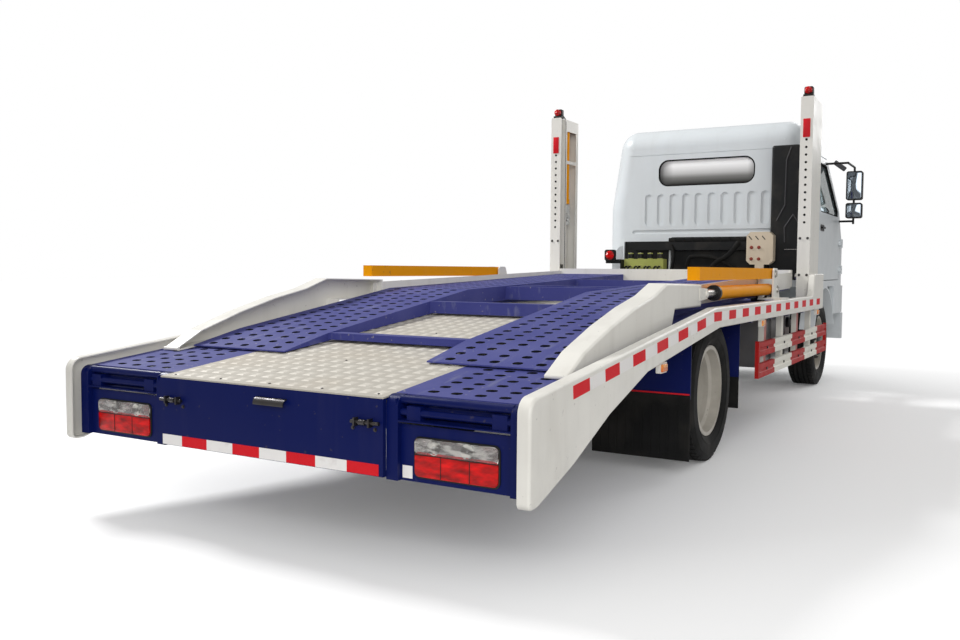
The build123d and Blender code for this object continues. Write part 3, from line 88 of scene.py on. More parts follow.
class Finish:
    """One material that is put together node by node."""

    def __init__(self, name, colour, roughness, metallic=0.0, gloss=0.5, **sockets):
        self.material = bpy.data.materials.new(name)
        self.material.use_nodes = True
        self.tree = self.material.node_tree
        self.shader = self.tree.nodes["Principled BSDF"]
        self.colour = colour
        self.feed(self.shader, {"Base Color": colour, "Roughness": roughness, "Metallic": metallic,
                                "Specular IOR Level": gloss, **sockets})
        self.place = self.node("ShaderNodeTexCoord").outputs["Object"]

    def feed(self, node, inputs):
        """Give a node's inputs their values, by a link where one comes out of another node."""
        for socket, value in inputs.items():
            if isinstance(value, bpy.types.NodeSocket):
                self.tree.links.new(value, node.inputs[socket])
            else:
                node.inputs[socket].default_value = value

    def node(self, kind, inputs=None, **settings):
        made = self.tree.nodes.new(kind)
        for setting, value in settings.items():
            setattr(made, setting, value)
        self.feed(made, inputs or {})
        return made

    def stretched(self, x, y, z):
        """The place, with its pattern drawn out along an axis."""
        return self.node("ShaderNodeMapping", {"Vector": self.place, "Scale": (x, y, z)}).outputs[0]

    def noise(self, scale, detail=4.0, place=None):
        inputs = {"Vector": place or self.place, "Scale": scale, "Detail": detail}
        return self.node("ShaderNodeTexNoise", inputs).outputs["Fac"]

    def between(self, value, low, high, start=0.0, end=1.0):
        """A value's share of the way from low to high, given as a number from start to end."""
        inputs = {"Value": value, "From Min": low, "From Max": high, "To Min": start, "To Max": end}
        return self.node("ShaderNodeMapRange", inputs).outputs["Result"]

    def height(self, low, high):
        """1 at the low height, falling to 0 at the high one."""
        z = self.node("ShaderNodeSeparateXYZ", {"Vector": self.place}).outputs["Z"]
        return self.between(z, low, high, 1.0, 0.0)

    def sum(self, *values, operation="ADD"):
        """Values put together one after the other, kept between 0 and 1."""
        total = values[0]
        for value in values[1:]:
            total = self.node("ShaderNodeMath", {0: total, 1: value}, operation=operation, use_clamp=True).outputs[0]
        return total

    def tint(self, share, colour):
        """Mix another colour in where the share is high."""
        mixed = self.node("ShaderNodeMix", {0: share, 6: self.colour, 7: colour}, data_type="RGBA")
        self.colour = mixed.outputs[2]
        self.feed(self.shader, {"Base Color": self.colour})

    def stain(self, colour, share, low, high, *clouds):
        """Tint up to a share where a noise of that scale and detail goes from low to high."""
        self.tint(self.between(self.noise(*clouds), low, high, 0.0, share), colour)

    def rough(self, low, high, scale=7.0):
        """Let the roughness wander from low to high."""
        self.feed(self.shader, {"Roughness": self.between(self.noise(scale, 5.0), 0.3, 0.7, low, high)})

    def bump(self, value, distance, strength=1.0):
        """Raise the surface where the value is high."""
        inputs = {"Height": value, "Distance": distance, "Strength": strength}
        self.feed(self.shader, {"Normal": self.node("ShaderNodeBump", inputs).outputs["Normal"]})


DUST = shade(0.55, 0.51, 0.45)
ROAD_FILM = shade(0.22, 0.20, 0.18)


def enamel(name, colour, grime=0.25, chips=0.0, roughness=(0.28, 0.45), coat=0.1, gloss=0.3):
    """Sprayed enamel on steel: faint dust in clouds and streaks, road film low down, small chips, orange peel."""
    paint = Finish(name, colour, roughness[0], gloss=gloss, **{"Coat Weight": coat, "Coat Roughness": 0.2})
    paint.stain(DUST, grime, 0.5, 0.8, 1.7, 6.0)
    paint.stain(DUST, grime * 0.7, 0.52, 0.75, 3.0, 5.0, paint.stretched(4, 4, 0.5))
    film = paint.sum(paint.height(0.25, 0.95), paint.between(paint.noise(5.0), 0.35, 0.75, 0.0, grime),
                     operation="MULTIPLY")
    paint.tint(film, ROAD_FILM)
    if chips:
        paint.stain(shade(0.30, 0.27, 0.26), chips, 0.70, 0.73, 38.0, 3.0)
    paint.rough(*roughness)
    paint.bump(paint.noise(160.0, 2.0), 0.0004, 0.35)
    return paint.material


def track_enamel():
    """Blue enamel of the wheel tracks, dulled and scuffed by tyres."""
    paint = Finish("track_enamel", shade(0.235, 0.25, 0.505), 0.55, gloss=0.22)
    paint.stain(shade(0.38, 0.39, 0.60), 0.5, 0.45, 0.8, 2.2, 6.0)
    paint.stain(shade(0.46, 0.47, 0.58), 0.45, 0.6, 0.72, 7.0, 8.0, paint.stretched(0.5, 3.0, 1.0))
    paint.stain(shade(0.62, 0.60, 0.58), 0.6, 0.68, 0.72, 45.0, 4.0)
    paint.rough(0.5, 0.68)
    paint.bump(paint.noise(120.0, 3.0), 0.0006, 0.4)
    return paint.material


def tread_metal(name, colour):
    """Rolled aluminium, dull and dusty, with drag marks and a few stains."""
    metal = Finish(name, colour, 0.55, metallic=0.1, gloss=0.25)
    metal.stain(shade(0.70, 0.66, 0.60), 0.5, 0.45, 0.75, 2.6, 7.0)
    metal.stain(shade(0.84, 0.83, 0.80), 0.3, 0.6, 0.75, 60.0, 3.0, metal.stretched(0.15, 1.0, 1.0))
    metal.stain(shade(0.45, 0.41, 0.37), 0.5, 0.7, 0.76, 9.0, 4.0)
    metal.rough(0.5, 0.68, 11.0)
    metal.bump(metal.noise(300.0, 2.0), 0.0003, 0.4)
    return metal.material


def bare_metal(name, colour, roughness=(0.2, 0.38), dirt=0.3, metallic=0.95):
    """Machined or plated steel with fine drawn lines and oily dirt."""
    metal = Finish(name, colour, roughness[0], metallic=metallic)
    metal.stain(shade(0.28, 0.24, 0.20), dirt, 0.48, 0.75, 12.0, 6.0)
    metal.rough(*roughness, 24.0)
    metal.bump(metal.noise(220.0, 2.0, metal.stretched(0.1, 1.0, 1.0)), 0.0002, 0.4)
    return metal.material


def cast(name, colour, grain=90.0):
    """Cast or painted iron under road dust."""
    iron = Finish(name, colour, 0.6, metallic=0.2)
    iron.stain(shade(0.36, 0.31, 0.26), 0.55, 0.45, 0.8, 5.0, 7.0)
    iron.rough(0.5, 0.8)
    iron.bump(iron.noise(grain, 4.0), 0.0015, 0.5)
    return iron.material


def rubber(name, colour, dust=0.16, grain=220.0):
    """Moulded rubber with a dusty bloom."""
    skin = Finish(name, colour, 0.7, gloss=0.2)
    skin.stain(shade(0.34, 0.32, 0.29), dust, 0.45, 0.8, 6.0, 6.0)
    skin.rough(0.6, 0.85)
    skin.bump(skin.noise(grain, 3.0), 0.0006, 0.5)
    return skin.material


def plastic(name, colour, roughness=(0.4, 0.55), grain=420.0):
    """Grained moulded plastic."""
    skin = Finish(name, colour, roughness[0], gloss=0.3)
    skin.stain(DUST, 0.14, 0.5, 0.85, 4.0, 6.0)
    skin.rough(*roughness)
    grains = skin.node("ShaderNodeTexVoronoi", {"Vector": skin.place, "Scale": grain}).outputs["Distance"]
    skin.bump(grains, 0.0004, 0.4)
    return skin.material


def lens(name, colour, glint_colour, ribs=70.0, transmission=0.0, glint_range=(0.44, 0.58)):
    """A moulded lamp lens: fine level ribs over bright and dark cells; the bright cells are a painted glint of light
    off the lamp's reflector.
    """
    glass = Finish(name, colour, 0.15, gloss=0.3,
                   **{"Transmission Weight": transmission, "IOR": 1.49, "Coat Weight": 0.15})
    fine = glass.node("ShaderNodeTexWave", {"Vector": glass.place, "Scale": ribs, "Distortion": 0.0},
                      bands_direction="Z").outputs["Fac"]
    # painted glints: streaky cells of the glint colour
    glass.tint(glass.between(glass.noise(17.0, 3.0, glass.stretched(1.0, 0.8, 2.4)), *glint_range), glint_colour)
    glass.stain(DUST, 0.06, 0.6, 0.85, 8.0, 5.0)
    glass.bump(fine, 0.0012, 0.6)
    return glass.material


def window_glass():
    """Tinted safety glass with a light film of dust."""
    glass = Finish("window_glass", shade(0.80, 0.85, 0.85), 0.0,
                   **{"Transmission Weight": 0.96, "IOR": 1.45, "Coat Weight": 0.5, "Coat Roughness": 0.02})
    glass.stain(DUST, 0.12, 0.5, 0.85, 2.0, 5.0)
    return glass.material


def tape(name, colour):
    """Retroreflective tape: a fine cell pattern under a clear skin, with scuffs."""
    film = Finish(name, colour, 0.5, gloss=0.15)
    cells = film.node("ShaderNodeTexVoronoi", {"Vector": film.place, "Scale": 260.0},
                      feature="DISTANCE_TO_EDGE").outputs["Distance"]
    film.tint(film.between(cells, 0.0, 0.12, 0.04, 0.0), shade(0.86, 0.82, 0.78))
    film.stain(shade(0.42, 0.30, 0.28), 0.25, 0.6, 0.8, 14.0, 6.0)
    film.rough(0.45, 0.65)
    film.bump(cells, 0.0004, 0.5)
    return film.material


GUARD_BANDS = (0.0, 0.187, 0.414, 0.612, 0.82)


def guard_enamel():
    """White side guards with red bands, painted by their place along the truck, on white hangers."""
    low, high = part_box("side_guards")
    paint = Finish("guard_enamel", shade(0.88, 0.87, 0.83), 0.5, gloss=0.2)
    place = paint.node("ShaderNodeSeparateXYZ", {"Vector": paint.place})
    ramp = paint.node("ShaderNodeValToRGB", {"Fac": paint.between(place.outputs["X"], low.x, high.x)})
    ramp.color_ramp.interpolation = "CONSTANT"
    bands = ramp.color_ramp.elements
    for start in GUARD_BANDS[2:]:
        bands.new(start)
    for number, (start, band) in enumerate(zip(GUARD_BANDS, bands)):
        band.position = start
        band.color = (1, 1, 1, 1) if number % 2 == 0 else (0, 0, 0, 1)
    outwards = paint.node("ShaderNodeMath", {0: place.outputs["Y"]}, operation="ABSOLUTE").outputs[0]
    bars = paint.between(outwards, high.y - 0.0265, high.y - 0.0245)
    paint.tint(paint.sum(ramp.outputs["Color"], bars, operation="MULTIPLY"), shade(0.66, 0.08, 0.07))
    paint.stain(shade(0.40, 0.33, 0.28), 0.3, 0.55, 0.8, 9.0, 6.0)
    paint.rough(0.45, 0.6)
    paint.bump(paint.noise(140.0, 2.0), 0.0005, 0.35)
    return paint.material


def cloth():
    """Woven seat cloth, two crossed rows of threads."""
    weave = Finish("seat_cloth", shade(0.26, 0.27, 0.30), 0.85, **{"Sheen Weight": 0.4})
    threads = [weave.node("ShaderNodeTexWave", {"Vector": weave.place, "Scale": 180.0, "Distortion": 0.4},
                          bands_direction=axis).outputs["Fac"] for axis in ("X", "Y")]
    crossed = weave.sum(*threads, operation="MULTIPLY")
    weave.tint(crossed, shade(0.36, 0.37, 0.40))
    weave.stain(shade(0.2, 0.2, 0.22), 0.3, 0.5, 0.8, 5.0, 5.0)
    weave.bump(crossed, 0.001, 0.6)
    return weave.material


white_enamel = enamel("white_enamel", shade(0.90, 0.89, 0.86), grime=0.16, chips=0.25)
navy_enamel = enamel("navy_enamel", shade(0.02, 0.075, 0.31), grime=0.03, chips=0.4, coat=0.0, gloss=0.15)
cab_enamel = enamel("cab_enamel", shade(0.84, 0.86, 0.87), grime=0.08, coat=0.25)
amber_enamel = enamel("amber_enamel", shade(0.93, 0.61, 0.0), grime=0.05, chips=0.4, roughness=(0.5, 0.65),
                      coat=0.0, gloss=0.1)
black_enamel = enamel("black_enamel", shade(0.09, 0.09, 0.095), grime=0.2, chips=0.3, roughness=(0.4, 0.6))
rim_enamel = enamel("rim_enamel", shade(0.74, 0.72, 0.68), grime=0.45, chips=0.3, roughness=(0.3, 0.45))
beige_enamel = enamel("beige_enamel", shade(0.83, 0.77, 0.68), grime=0.2)
tank_enamel = enamel("tank_enamel", shade(0.45, 0.45, 0.46), grime=0.4)
valve_finish = enamel("valve_finish", shade(0.66, 0.68, 0.36), grime=0.3, roughness=(0.35, 0.5))
knob_finish = plastic("knob_finish", shade(0.55, 0.24, 0.19))
track_finish = track_enamel()
plate_finish = tread_metal("tread_plate_metal", shade(0.70, 0.68, 0.64))
# painted highlight: the raised lozenges get a brighter copy of the plate metal, partly their polish from wear
lozenge_polish_and_highlight = tread_metal("lozenge_polish_and_highlight_metal", shade(0.79, 0.77, 0.73))
steel_finish = bare_metal("bright_steel", shade(0.72, 0.71, 0.69))
dark_steel = bare_metal("dark_steel", shade(0.34, 0.33, 0.33), (0.3, 0.5), 0.5)
chrome = bare_metal("lamp_reflector", shade(0.93, 0.93, 0.94), (0.06, 0.12), 0.05, 1.0)
cast_finish = cast("cast_iron", shade(0.25, 0.24, 0.235))
black_rubber = rubber("black_rubber", shade(0.06, 0.06, 0.06))
tyre_rubber = rubber("tyre_rubber", shade(0.075, 0.075, 0.075), 0.2)
black_plastic = plastic("black_plastic", shade(0.075, 0.08, 0.085))
dash_plastic = plastic("dash_plastic", shade(0.25, 0.25, 0.26))
# lamp lenses: the second colour is a painted glint in streaky cells; the reflector cells are a dark base with painted
# glints
red_lens = lens("red_lens", shade(0.50, 0.0, 0.0), shade(0.93, 0.02, 0.02), glint_range=(0.30, 0.72))
amber_lens = lens("amber_lens", shade(0.85, 0.42, 0.08), shade(0.97, 0.66, 0.28))
clear_lens = lens("clear_lens", shade(0.97, 0.97, 0.97), shade(0.93, 0.93, 0.93), transmission=0.92)
reflector_lens = lens("reflector_lens", shade(0.30, 0.27, 0.24), shade(0.95, 0.94, 0.91))
glass_finish = window_glass()
red_tape = tape("red_tape", shade(0.83, 0.07, 0.13))
white_tape = tape("white_tape", shade(0.92, 0.91, 0.90))
guard_finish = guard_enamel()
cloth_finish = cloth()

finish_of_slot = {
    "white_paint": white_enamel, "navy_paint": navy_enamel, "frame_paint": black_enamel,
    "tread_aluminium": plate_finish, "amber_paint": amber_enamel, "red_lens": red_lens, "amber_lens": amber_lens,
    "clear_lens": clear_lens, "guard_paint": guard_finish, "rubber": black_rubber, "tyre": tyre_rubber,
    "rim_paint": rim_enamel, "cab_paint": cab_enamel, "window_glass": glass_finish, "black_plastic": black_plastic,
    "seat_cloth": cloth_finish, "mirror_shell": black_plastic, "steel": steel_finish, "cast_metal": cast_finish,
    "beige_paint": beige_enamel, "valve_paint": valve_finish, "tank_paint": tank_enamel}
finish_of_node = {"lower_tracks": track_finish, "upper_deck": track_finish, "dashboard": dash_plastic,
                  "rear_latches": dark_steel}

for part in frame["record"]["subparts"]:
    mesh = nodes[part["node"]].data
    mesh.materials.clear()
    mesh.materials.append(finish_of_node.get(part["node"], finish_of_slot[part["material_slot"]]))


# ---- shaping

def box(bm, low, high, bevel=0.0, segments=2):
    """A block between two corners, its edges rounded by the bevel."""
    low, high = Vector(low), Vector(high)
    before = set(bm.verts)
    place = Matrix.Translation((low + high) / 2) @ Matrix.Diagonal((*(high - low), 1))
    made = bmesh.ops.create_cube(bm, size=1, matrix=place)["verts"]
    if bevel:
        edges = list({edge for vert in made for edge in vert.link_edges})
        bmesh.ops.bevel(bm, geom=edges, offset=bevel, segments=segments, affect="EDGES", profile=0.5, material=-1)
    return [vert for vert in bm.verts if vert not in before]


def rounded(bm, low, high, radius, axis=0, segments=5, edge=0.0):
    """A block whose four corners are rounded as seen along one axis, and its other edges by the edge radius."""
    before = set(bm.verts)
    new = box(bm, low, high)
    for offset, steps, lengthwise in ((radius, segments, True), (edge, 2, False)):
        if offset:
            edges = [e for e in {e for v in new for e in v.link_edges}
                     if (abs((e.verts[0].co - e.verts[1].co)[axis]) > 1e-6) == lengthwise]
            bmesh.ops.bevel(bm, geom=edges, offset=offset, segments=steps, affect="EDGES", profile=0.5, material=-1)
            new = [vert for vert in bm.verts if vert not in before]
    return new


def rod(bm, start, end, radius, sides=16, end_radius=None):
    """A round bar, or a cone, from one point to another."""
    start, end = Vector(start), Vector(end)
    run = end - start
    place = Matrix.Translation((start + end) / 2) @ run.to_track_quat("Z", "Y").to_matrix().to_4x4()
    far = radius if end_radius is None else end_radius
    return bmesh.ops.create_cone(bm, cap_ends=True, segments=sides, radius1=radius, radius2=far, depth=run.length,
                                 matrix=place)["verts"]


def spun(bm, profile, centre, axis=(0, 1, 0), steps=48):
    """A closed profile of (radius, place along the axis) pairs spun about an axle."""
    centre, axis = Vector(centre), Vector(axis)
    out = axis.orthogonal().normalized()
    verts = [bm.verts.new(centre + out * radius + axis * along) for radius, along in profile]
    edges = [bm.edges.new(pair) for pair in zip(verts, verts[1:] + verts[:1])]
    bmesh.ops.spin(bm, geom=verts + edges, cent=centre, axis=axis, angle=2 * pi, steps=steps, use_merge=True)


def only_verts(items):
    """The vertices among the parts of a mesh."""
    return [item for item in items if isinstance(item, bmesh.types.BMVert)]


def everything(bm):
    """All parts of a mesh."""
    return list(bm.verts) + list(bm.edges) + list(bm.faces)


def repeat(bm, step, count):
    """Copy everything in a mesh along a step."""
    geometry = everything(bm)
    for number in range(1, count):
        verts = only_verts(bmesh.ops.duplicate(bm, geom=geometry)["geom"])
        bmesh.ops.translate(bm, verts=verts, vec=Vector(step) * number)


def around(bm, count, centre):
    """Copy everything in a mesh round a crosswise axle."""
    geometry = everything(bm)
    for number in range(1, count):
        verts = only_verts(bmesh.ops.duplicate(bm, geom=geometry)["geom"])
        turn = Matrix.Rotation(2 * pi * number / count, 3, "Y")
        bmesh.ops.rotate(bm, verts=verts, cent=Vector(centre), matrix=turn)


def merge(bm, other):
    """Add another mesh to a mesh and free it."""
    joined = bpy.data.meshes.new("joined")
    other.to_mesh(joined)
    other.free()
    bm.from_mesh(joined)
    bpy.data.meshes.remove(joined)


def both_sides(bm):
    """Mirror everything in a mesh to the other side of the truck."""
    bmesh.ops.mirror(bm, geom=everything(bm), matrix=Matrix.Identity(4), merge_dist=-1, axis="Y")


def piece(bm, name, slot, finish=None, body="root", smooth=35.0, closed=True, pair=False):
    """Turn a mesh into a finished piece on its body, mirrored first if it is one of a pair.

    It has the finish of its slot unless another is given. An open mesh keeps the way its faces point.
    """
    if pair:
        both_sides(bm)
    if closed:
        bmesh.ops.recalc_face_normals(bm, faces=bm.faces)
    mesh = bpy.data.meshes.new(name)
    bm.to_mesh(mesh)
    bm.free()
    mesh.materials.append(finish or finish_of_slot[slot])
    if smooth:
        mesh.shade_smooth()
        mesh.set_sharp_from_angle(angle=radians(smooth))
    made = bpy.data.objects.new(name, mesh)
    bpy.context.scene.collection.objects.link(made)
    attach(made, body)
    return made


def bolt(bm, place, direction, size=0.012, height=0.008):
    """A hexagon head on a washer."""
    place, direction = Vector(place), Vector(direction)
    rod(bm, place, place + direction * height * 0.25, size * 1.35, 16)
    rod(bm, place + direction * height * 0.2, place + direction * height, size, 6)


def line(name, points, radius, finish=black_rubber, body="root"):
    """A fixed pipe or clipped hose through chosen points."""
    curve = bpy.data.curves.new(name, "CURVE")
    curve.dimensions = "3D"
    curve.bevel_depth = radius
    curve.bevel_resolution = 3
    spline = curve.splines.new("NURBS")
    spline.points.add(len(points) - 1)
    for point, place in zip(spline.points, points):
        point.co = (*place, 1.0)
    spline.order_u = 3
    spline.use_endpoint_u = True
    curve.materials.append(finish)
    made = bpy.data.objects.new(name, curve)
    bpy.context.scene.collection.objects.link(made)
    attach(made, body)


# ---- deck: tread, tape, screws, rear strip

TREAD_PITCH = (0.090, 0.073)
LOZENGE = (0.058, 0.042, 0.0026)
LOZENGE_TOP = 0.62


def tread_lozenges():
    """Raised lozenges of the tread plate, in rows along and across the truck, in a brighter copy of the plate metal
    that paints their highlight as well as their polish from wear.
    """
    low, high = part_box("tread_plate")
    long, wide, tall = LOZENGE
    columns = int((high.y - low.y) / TREAD_PITCH[1])
    first_y = (1 - columns) / 2 * TREAD_PITCH[1]
    bm = bmesh.new()
    for start, end, turn in ((low.x + 0.02, kink_x, -deck_slope), (kink_x + 0.02, high.x - 0.01, 0.0)):
        strip = bmesh.new()
        middle = Vector((TREAD_PITCH[0] / 2, first_y, 0))
        half = Vector((long, wide, 0)) / 2
        verts = box(strip, middle - half, middle + half + Vector((0, 0, tall)))
        top = [vert for vert in verts if vert.co.z > tall / 2]
        bmesh.ops.scale(strip, verts=top, vec=(LOZENGE_TOP, LOZENGE_TOP, 1), space=Matrix.Translation(-middle))
        base = [face for face in strip.faces if face.calc_center_median().z < tall / 10]
        bmesh.ops.delete(strip, geom=base, context="FACES_ONLY")
        repeat(strip, (0, TREAD_PITCH[1], 0), columns)
        repeat(strip, (TREAD_PITCH[0], 0, 0), int((end - start) / cos(turn) / TREAD_PITCH[0]))
        place = Matrix.Translation((start, 0, deck(start))) @ Matrix.Rotation(turn, 4, "Y")
        bmesh.ops.transform(strip, matrix=place, verts=strip.verts)
        merge(bm, strip)
    piece(bm, "tread_lozenges", "tread_aluminium", lozenge_polish_and_highlight, smooth=None)


LONGEST_HOLE = 0.07
LINER_GAP = 0.0004


def hole_painted_shade(node, body):
    """Black sheets that paint the shade on the walls of the holes in the wheel tracks, laid just inside the walls of
    the solid.
    """
    bm = bmesh.new()
    bm.from_mesh(nodes[node].data)
    bmesh.ops.remove_doubles(bm, verts=bm.verts, dist=1e-5)
    bm.normal_update()
    level = [face for face in bm.faces if abs(face.normal.z) > 0.5]
    bmesh.ops.delete(bm, geom=level, context="FACES")
    waiting, other_walls = set(bm.verts), []
    while waiting:
        wall = [waiting.pop()]
        for vert in wall:
            near = {edge.other_vert(vert) for edge in vert.link_edges} & waiting
            waiting -= near
            wall.extend(near)
        if max(max(v.co[axis] for v in wall) - min(v.co[axis] for v in wall) for axis in (0, 1)) > LONGEST_HOLE:
            other_walls += wall
    bmesh.ops.delete(bm, geom=other_walls, context="VERTS")
    bm.normal_update()
    for vert in bm.verts:
        vert.co += vert.normal * LINER_GAP
    # painted shade: black sheets inside the navy hole walls
    piece(bm, f"{node}_hole_painted_shade", "navy_paint", black_rubber, body, closed=False)


TAPE_PITCH = 0.30
TAPE_COUNT = 17
TAPE_SIZE = (0.150, 0.050)
FIRST_TAPE = 0.41
TAPE_DROP = 0.003


def rail_tape():
    """Red and white reflective tape along both side rails."""
    for name, finish, shift, count in (("red", red_tape, 0.0, TAPE_COUNT),
                                       ("white", white_tape, 0.5, TAPE_COUNT - 1)):
        bm = bmesh.new()
        for number in range(count):
            x = rear_end + FIRST_TAPE + (number + shift) * TAPE_PITCH
            verts = box(bm, (-TAPE_SIZE[0] / 2, half_width, -TAPE_SIZE[1] / 2),
                        (TAPE_SIZE[0] / 2, half_width + 0.0008, TAPE_SIZE[1] / 2))
            turn = -deck_slope if x < kink_x else 0.0
            place = Matrix.Translation((x, 0, deck(x) - TAPE_DROP)) @ Matrix.Rotation(turn, 4, "Y")
            bmesh.ops.transform(bm, matrix=place, verts=verts)
        piece(bm, f"rail_tape_{name}", "white_paint", finish, smooth=None, pair=True)


STRIP_HEIGHTS = (0.357, 0.401)
STRIP_REDS = ((0.32, 0.47), (0.02, 0.17), (-0.275, -0.125), (-0.58, -0.43))
SHORTEST_WHITE = 0.02
TAPE_THICKNESS = 0.0012
BOX_REFLECTOR = ((at(73), -0.702, 0.355), (at(74), -0.658, 0.402))


def rear_strip():
    """Reflective strip along the foot of the rear beam, and the square reflector by the right lamp."""
    face = beam_low.x
    low, high = STRIP_HEIGHTS
    red, white = bmesh.new(), bmesh.new()
    for right, left in STRIP_REDS:
        box(red, (face - TAPE_THICKNESS, right, low), (face, left, high))
    edges = [beam_high.y - 0.01] + [y for pair in STRIP_REDS for y in reversed(pair)] + [beam_low.y + 0.01]
    for left, right in zip(edges[::2], edges[1::2]):
        if left - right > SHORTEST_WHITE:
            box(white, (face - TAPE_THICKNESS, right, low), (face, left, high))
    box(white, *BOX_REFLECTOR)
    piece(red, "rear_strip_red", "navy_paint", red_tape, smooth=None)
    piece(white, "rear_strip_white", "navy_paint", white_tape, smooth=None)


def beam_caps():
    """Plates that close the rear beam's ends beside the ramp boxes."""
    bm = bmesh.new()
    box(bm, (beam_low.x + 0.001, beam_high.y - 0.004, beam_low.z + 0.001),
        (at(50), beam_high.y - 0.0005, beam_high.z - 0.001))
    piece(bm, "beam_caps", "navy_paint", smooth=None, pair=True)


SCREW_ROWS = ((70, 5), (560, 3), (1300, 3), (2150, 5), (3200, 3), (4300, 3))
SCREW_SPREAD = 1.1


def deck_screws():
    """Screws along the tread plate's rear edge and rows of them forward."""
    bm = bmesh.new()
    for station, count in SCREW_ROWS:
        x = at(station)
        for number in range(count):
            y = (number - (count - 1) / 2) * SCREW_SPREAD / (count - 1)
            rod(bm, (x, y, deck(x)), (x, y, deck(x) + 0.003), 0.007, 12, 0.004)
    piece(bm, "deck_screws", "steel", dark_steel)


LATCH_PLACE = 0.512
LATCH_BOLT_REACH = 0.052


def rear_latch_bolts():
    """Bolts that hold the latches on the rear beam."""
    bm = bmesh.new()
    low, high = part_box("rear_latches")
    z = (low.z + high.z) / 2 - 0.045
    for side in (-1, 1):
        for shift in (-LATCH_BOLT_REACH, LATCH_BOLT_REACH):
            bolt(bm, (beam_low.x, side * LATCH_PLACE + shift, z), (-1, 0, 0), 0.006, 0.006)
    piece(bm, "latch_bolts", "steel", dark_steel)


# ---- lamps

LAMP_SIDES = (0.712, 1.074)
LAMP_HEIGHTS = (0.362, 0.516)
LAMP_SPLIT = 0.452


def tail_lamps():
    """Rear lamps: black surround, clear upper lens with two reflector cells, red lower lens in three cells."""
    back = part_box("tail_lamps")[1].x
    (inner, outer), (bottom, top) = LAMP_SIDES, LAMP_HEIGHTS
    face = at(60)
    surround, red, clear, cells = (bmesh.new() for _ in range(4))
    rounded(surround, (face + 0.008, inner, bottom), (back, outer, top), 0.024, edge=0.002)
    rounded(red, (face + 0.002, inner + 0.006, bottom + 0.006), (face + 0.01, outer - 0.006, LAMP_SPLIT + 0.01), 0.02,
            edge=0.003)
    rounded(cells, (face + 0.0055, inner + 0.007, LAMP_SPLIT - 0.01), (face + 0.0095, outer - 0.007, top - 0.006),
            0.02)
    rounded(clear, (face, inner + 0.006, LAMP_SPLIT), (face + 0.005, outer - 0.006, top - 0.006), 0.018, edge=0.002)
    width = (outer - inner) / 3
    for number in (1, 2):
        y = inner + number * width
        box(surround, (face + 0.0005, y - 0.0015, bottom + 0.008), (face + 0.009, y + 0.0015, LAMP_SPLIT), 0.0005, 1)
    box(surround, (face - 0.0005, inner + 0.008, LAMP_SPLIT - 0.003),
        (face + 0.009, outer - 0.008, LAMP_SPLIT + 0.001), 0.001, 1)
    for y in (inner + 0.09, outer - 0.13):
        spun(cells, [(0.0, 0.0), (0.010, 0.0008), (0.020, 0.0022), (0.0275, 0.0045), (0.0275, 0.0), (0.0, -0.001)],
             (face + 0.0055, y, (LAMP_SPLIT + top) / 2 - 0.002), (-1, 0, 0), 28)
    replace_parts(piece(surround, "tail_lamp_surrounds", "black_plastic", pair=True), "tail_lamps")
    piece(red, "tail_lamp_red_lenses", "red_lens", pair=True)
    piece(clear, "tail_lamp_clear_lenses", "clear_lens", pair=True)
    piece(cells, "tail_lamp_reflectors", "steel", reflector_lens, pair=True)


def post_lamps():
    """Lamps on the posts: a black foot and hood with a red dome lens facing rearwards."""
    low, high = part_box("post_lamps")
    inner, outer = post_high.y - 0.09, high.y
    middle = (inner + outer) / 2
    foot, dome = bmesh.new(), bmesh.new()
    rounded(foot, (low.x + 0.012, inner, low.z), (high.x, outer, low.z + 0.02), 0.012, axis=2, edge=0.003)
    rounded(foot, (low.x + 0.04, inner + 0.004, low.z + 0.018), (high.x - 0.004, outer - 0.004, high.z), 0.014,
            edge=0.004)
    rod(dome, (low.x + 0.042, middle, low.z + 0.052), (low.x + 0.014, middle, low.z + 0.052), 0.031, 28, 0.029)
    spun(dome, [(0.0, 0.012), (0.010, 0.011), (0.020, 0.008), (0.029, 0.0), (0.0, 0.0)],
         (low.x + 0.014, middle, low.z + 0.052), (-1, 0, 0), 28)
    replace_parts(piece(foot, "post_lamp_housings", "black_plastic", pair=True), "post_lamps")
    piece(dome, "post_lamp_lenses", "red_lens", pair=True)


MARKER_STATIONS = (1370, 3330, 5290)
HALF_MARKER = 0.045


def marker_lamps():
    """Side marker lamps: a pale base with an amber lens on its outer face."""
    base, glow = bmesh.new(), bmesh.new()
    for station in MARKER_STATIONS:
        x = at(station)
        top = rail_foot(x - HALF_MARKER)
        rounded(base, (x - HALF_MARKER, half_width - 0.036, top - 0.05),
                (x + HALF_MARKER, half_width - 0.014, top), 0.008, axis=1)
        rounded(glow, (x - 0.036, half_width - 0.016, top - 0.044),
                (x + 0.036, half_width - 0.006, top - 0.008), 0.007, axis=1, edge=0.003)
    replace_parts(piece(base, "marker_lamp_bases", "white_paint", pair=True), "marker_lamps")
    piece(glow, "marker_lamp_lenses", "amber_lens", pair=True)


def rail_foot(x):
    """Height of the side rail's lower edge forward of its deep part."""
    start, end = (at(1131), deck(at(1131)) - 0.090), (at(2277), kink_z - 0.067)
    if x > end[0]:
        return end[1]
    return start[1] + (x - start[0]) * (end[1] - start[1]) / (end[0] - start[0])


# ---- lift posts

LOCK_HOLES = 12
LOCK_PITCH = 0.061
FIRST_LOCK = 1.53
LOCK_RADIUS = 0.010
POST_REFLECTOR = (2.22, 2.37)
POST_BOLT_HEIGHTS = (1.10, 1.40)
CABLE_FOOT = 1.2


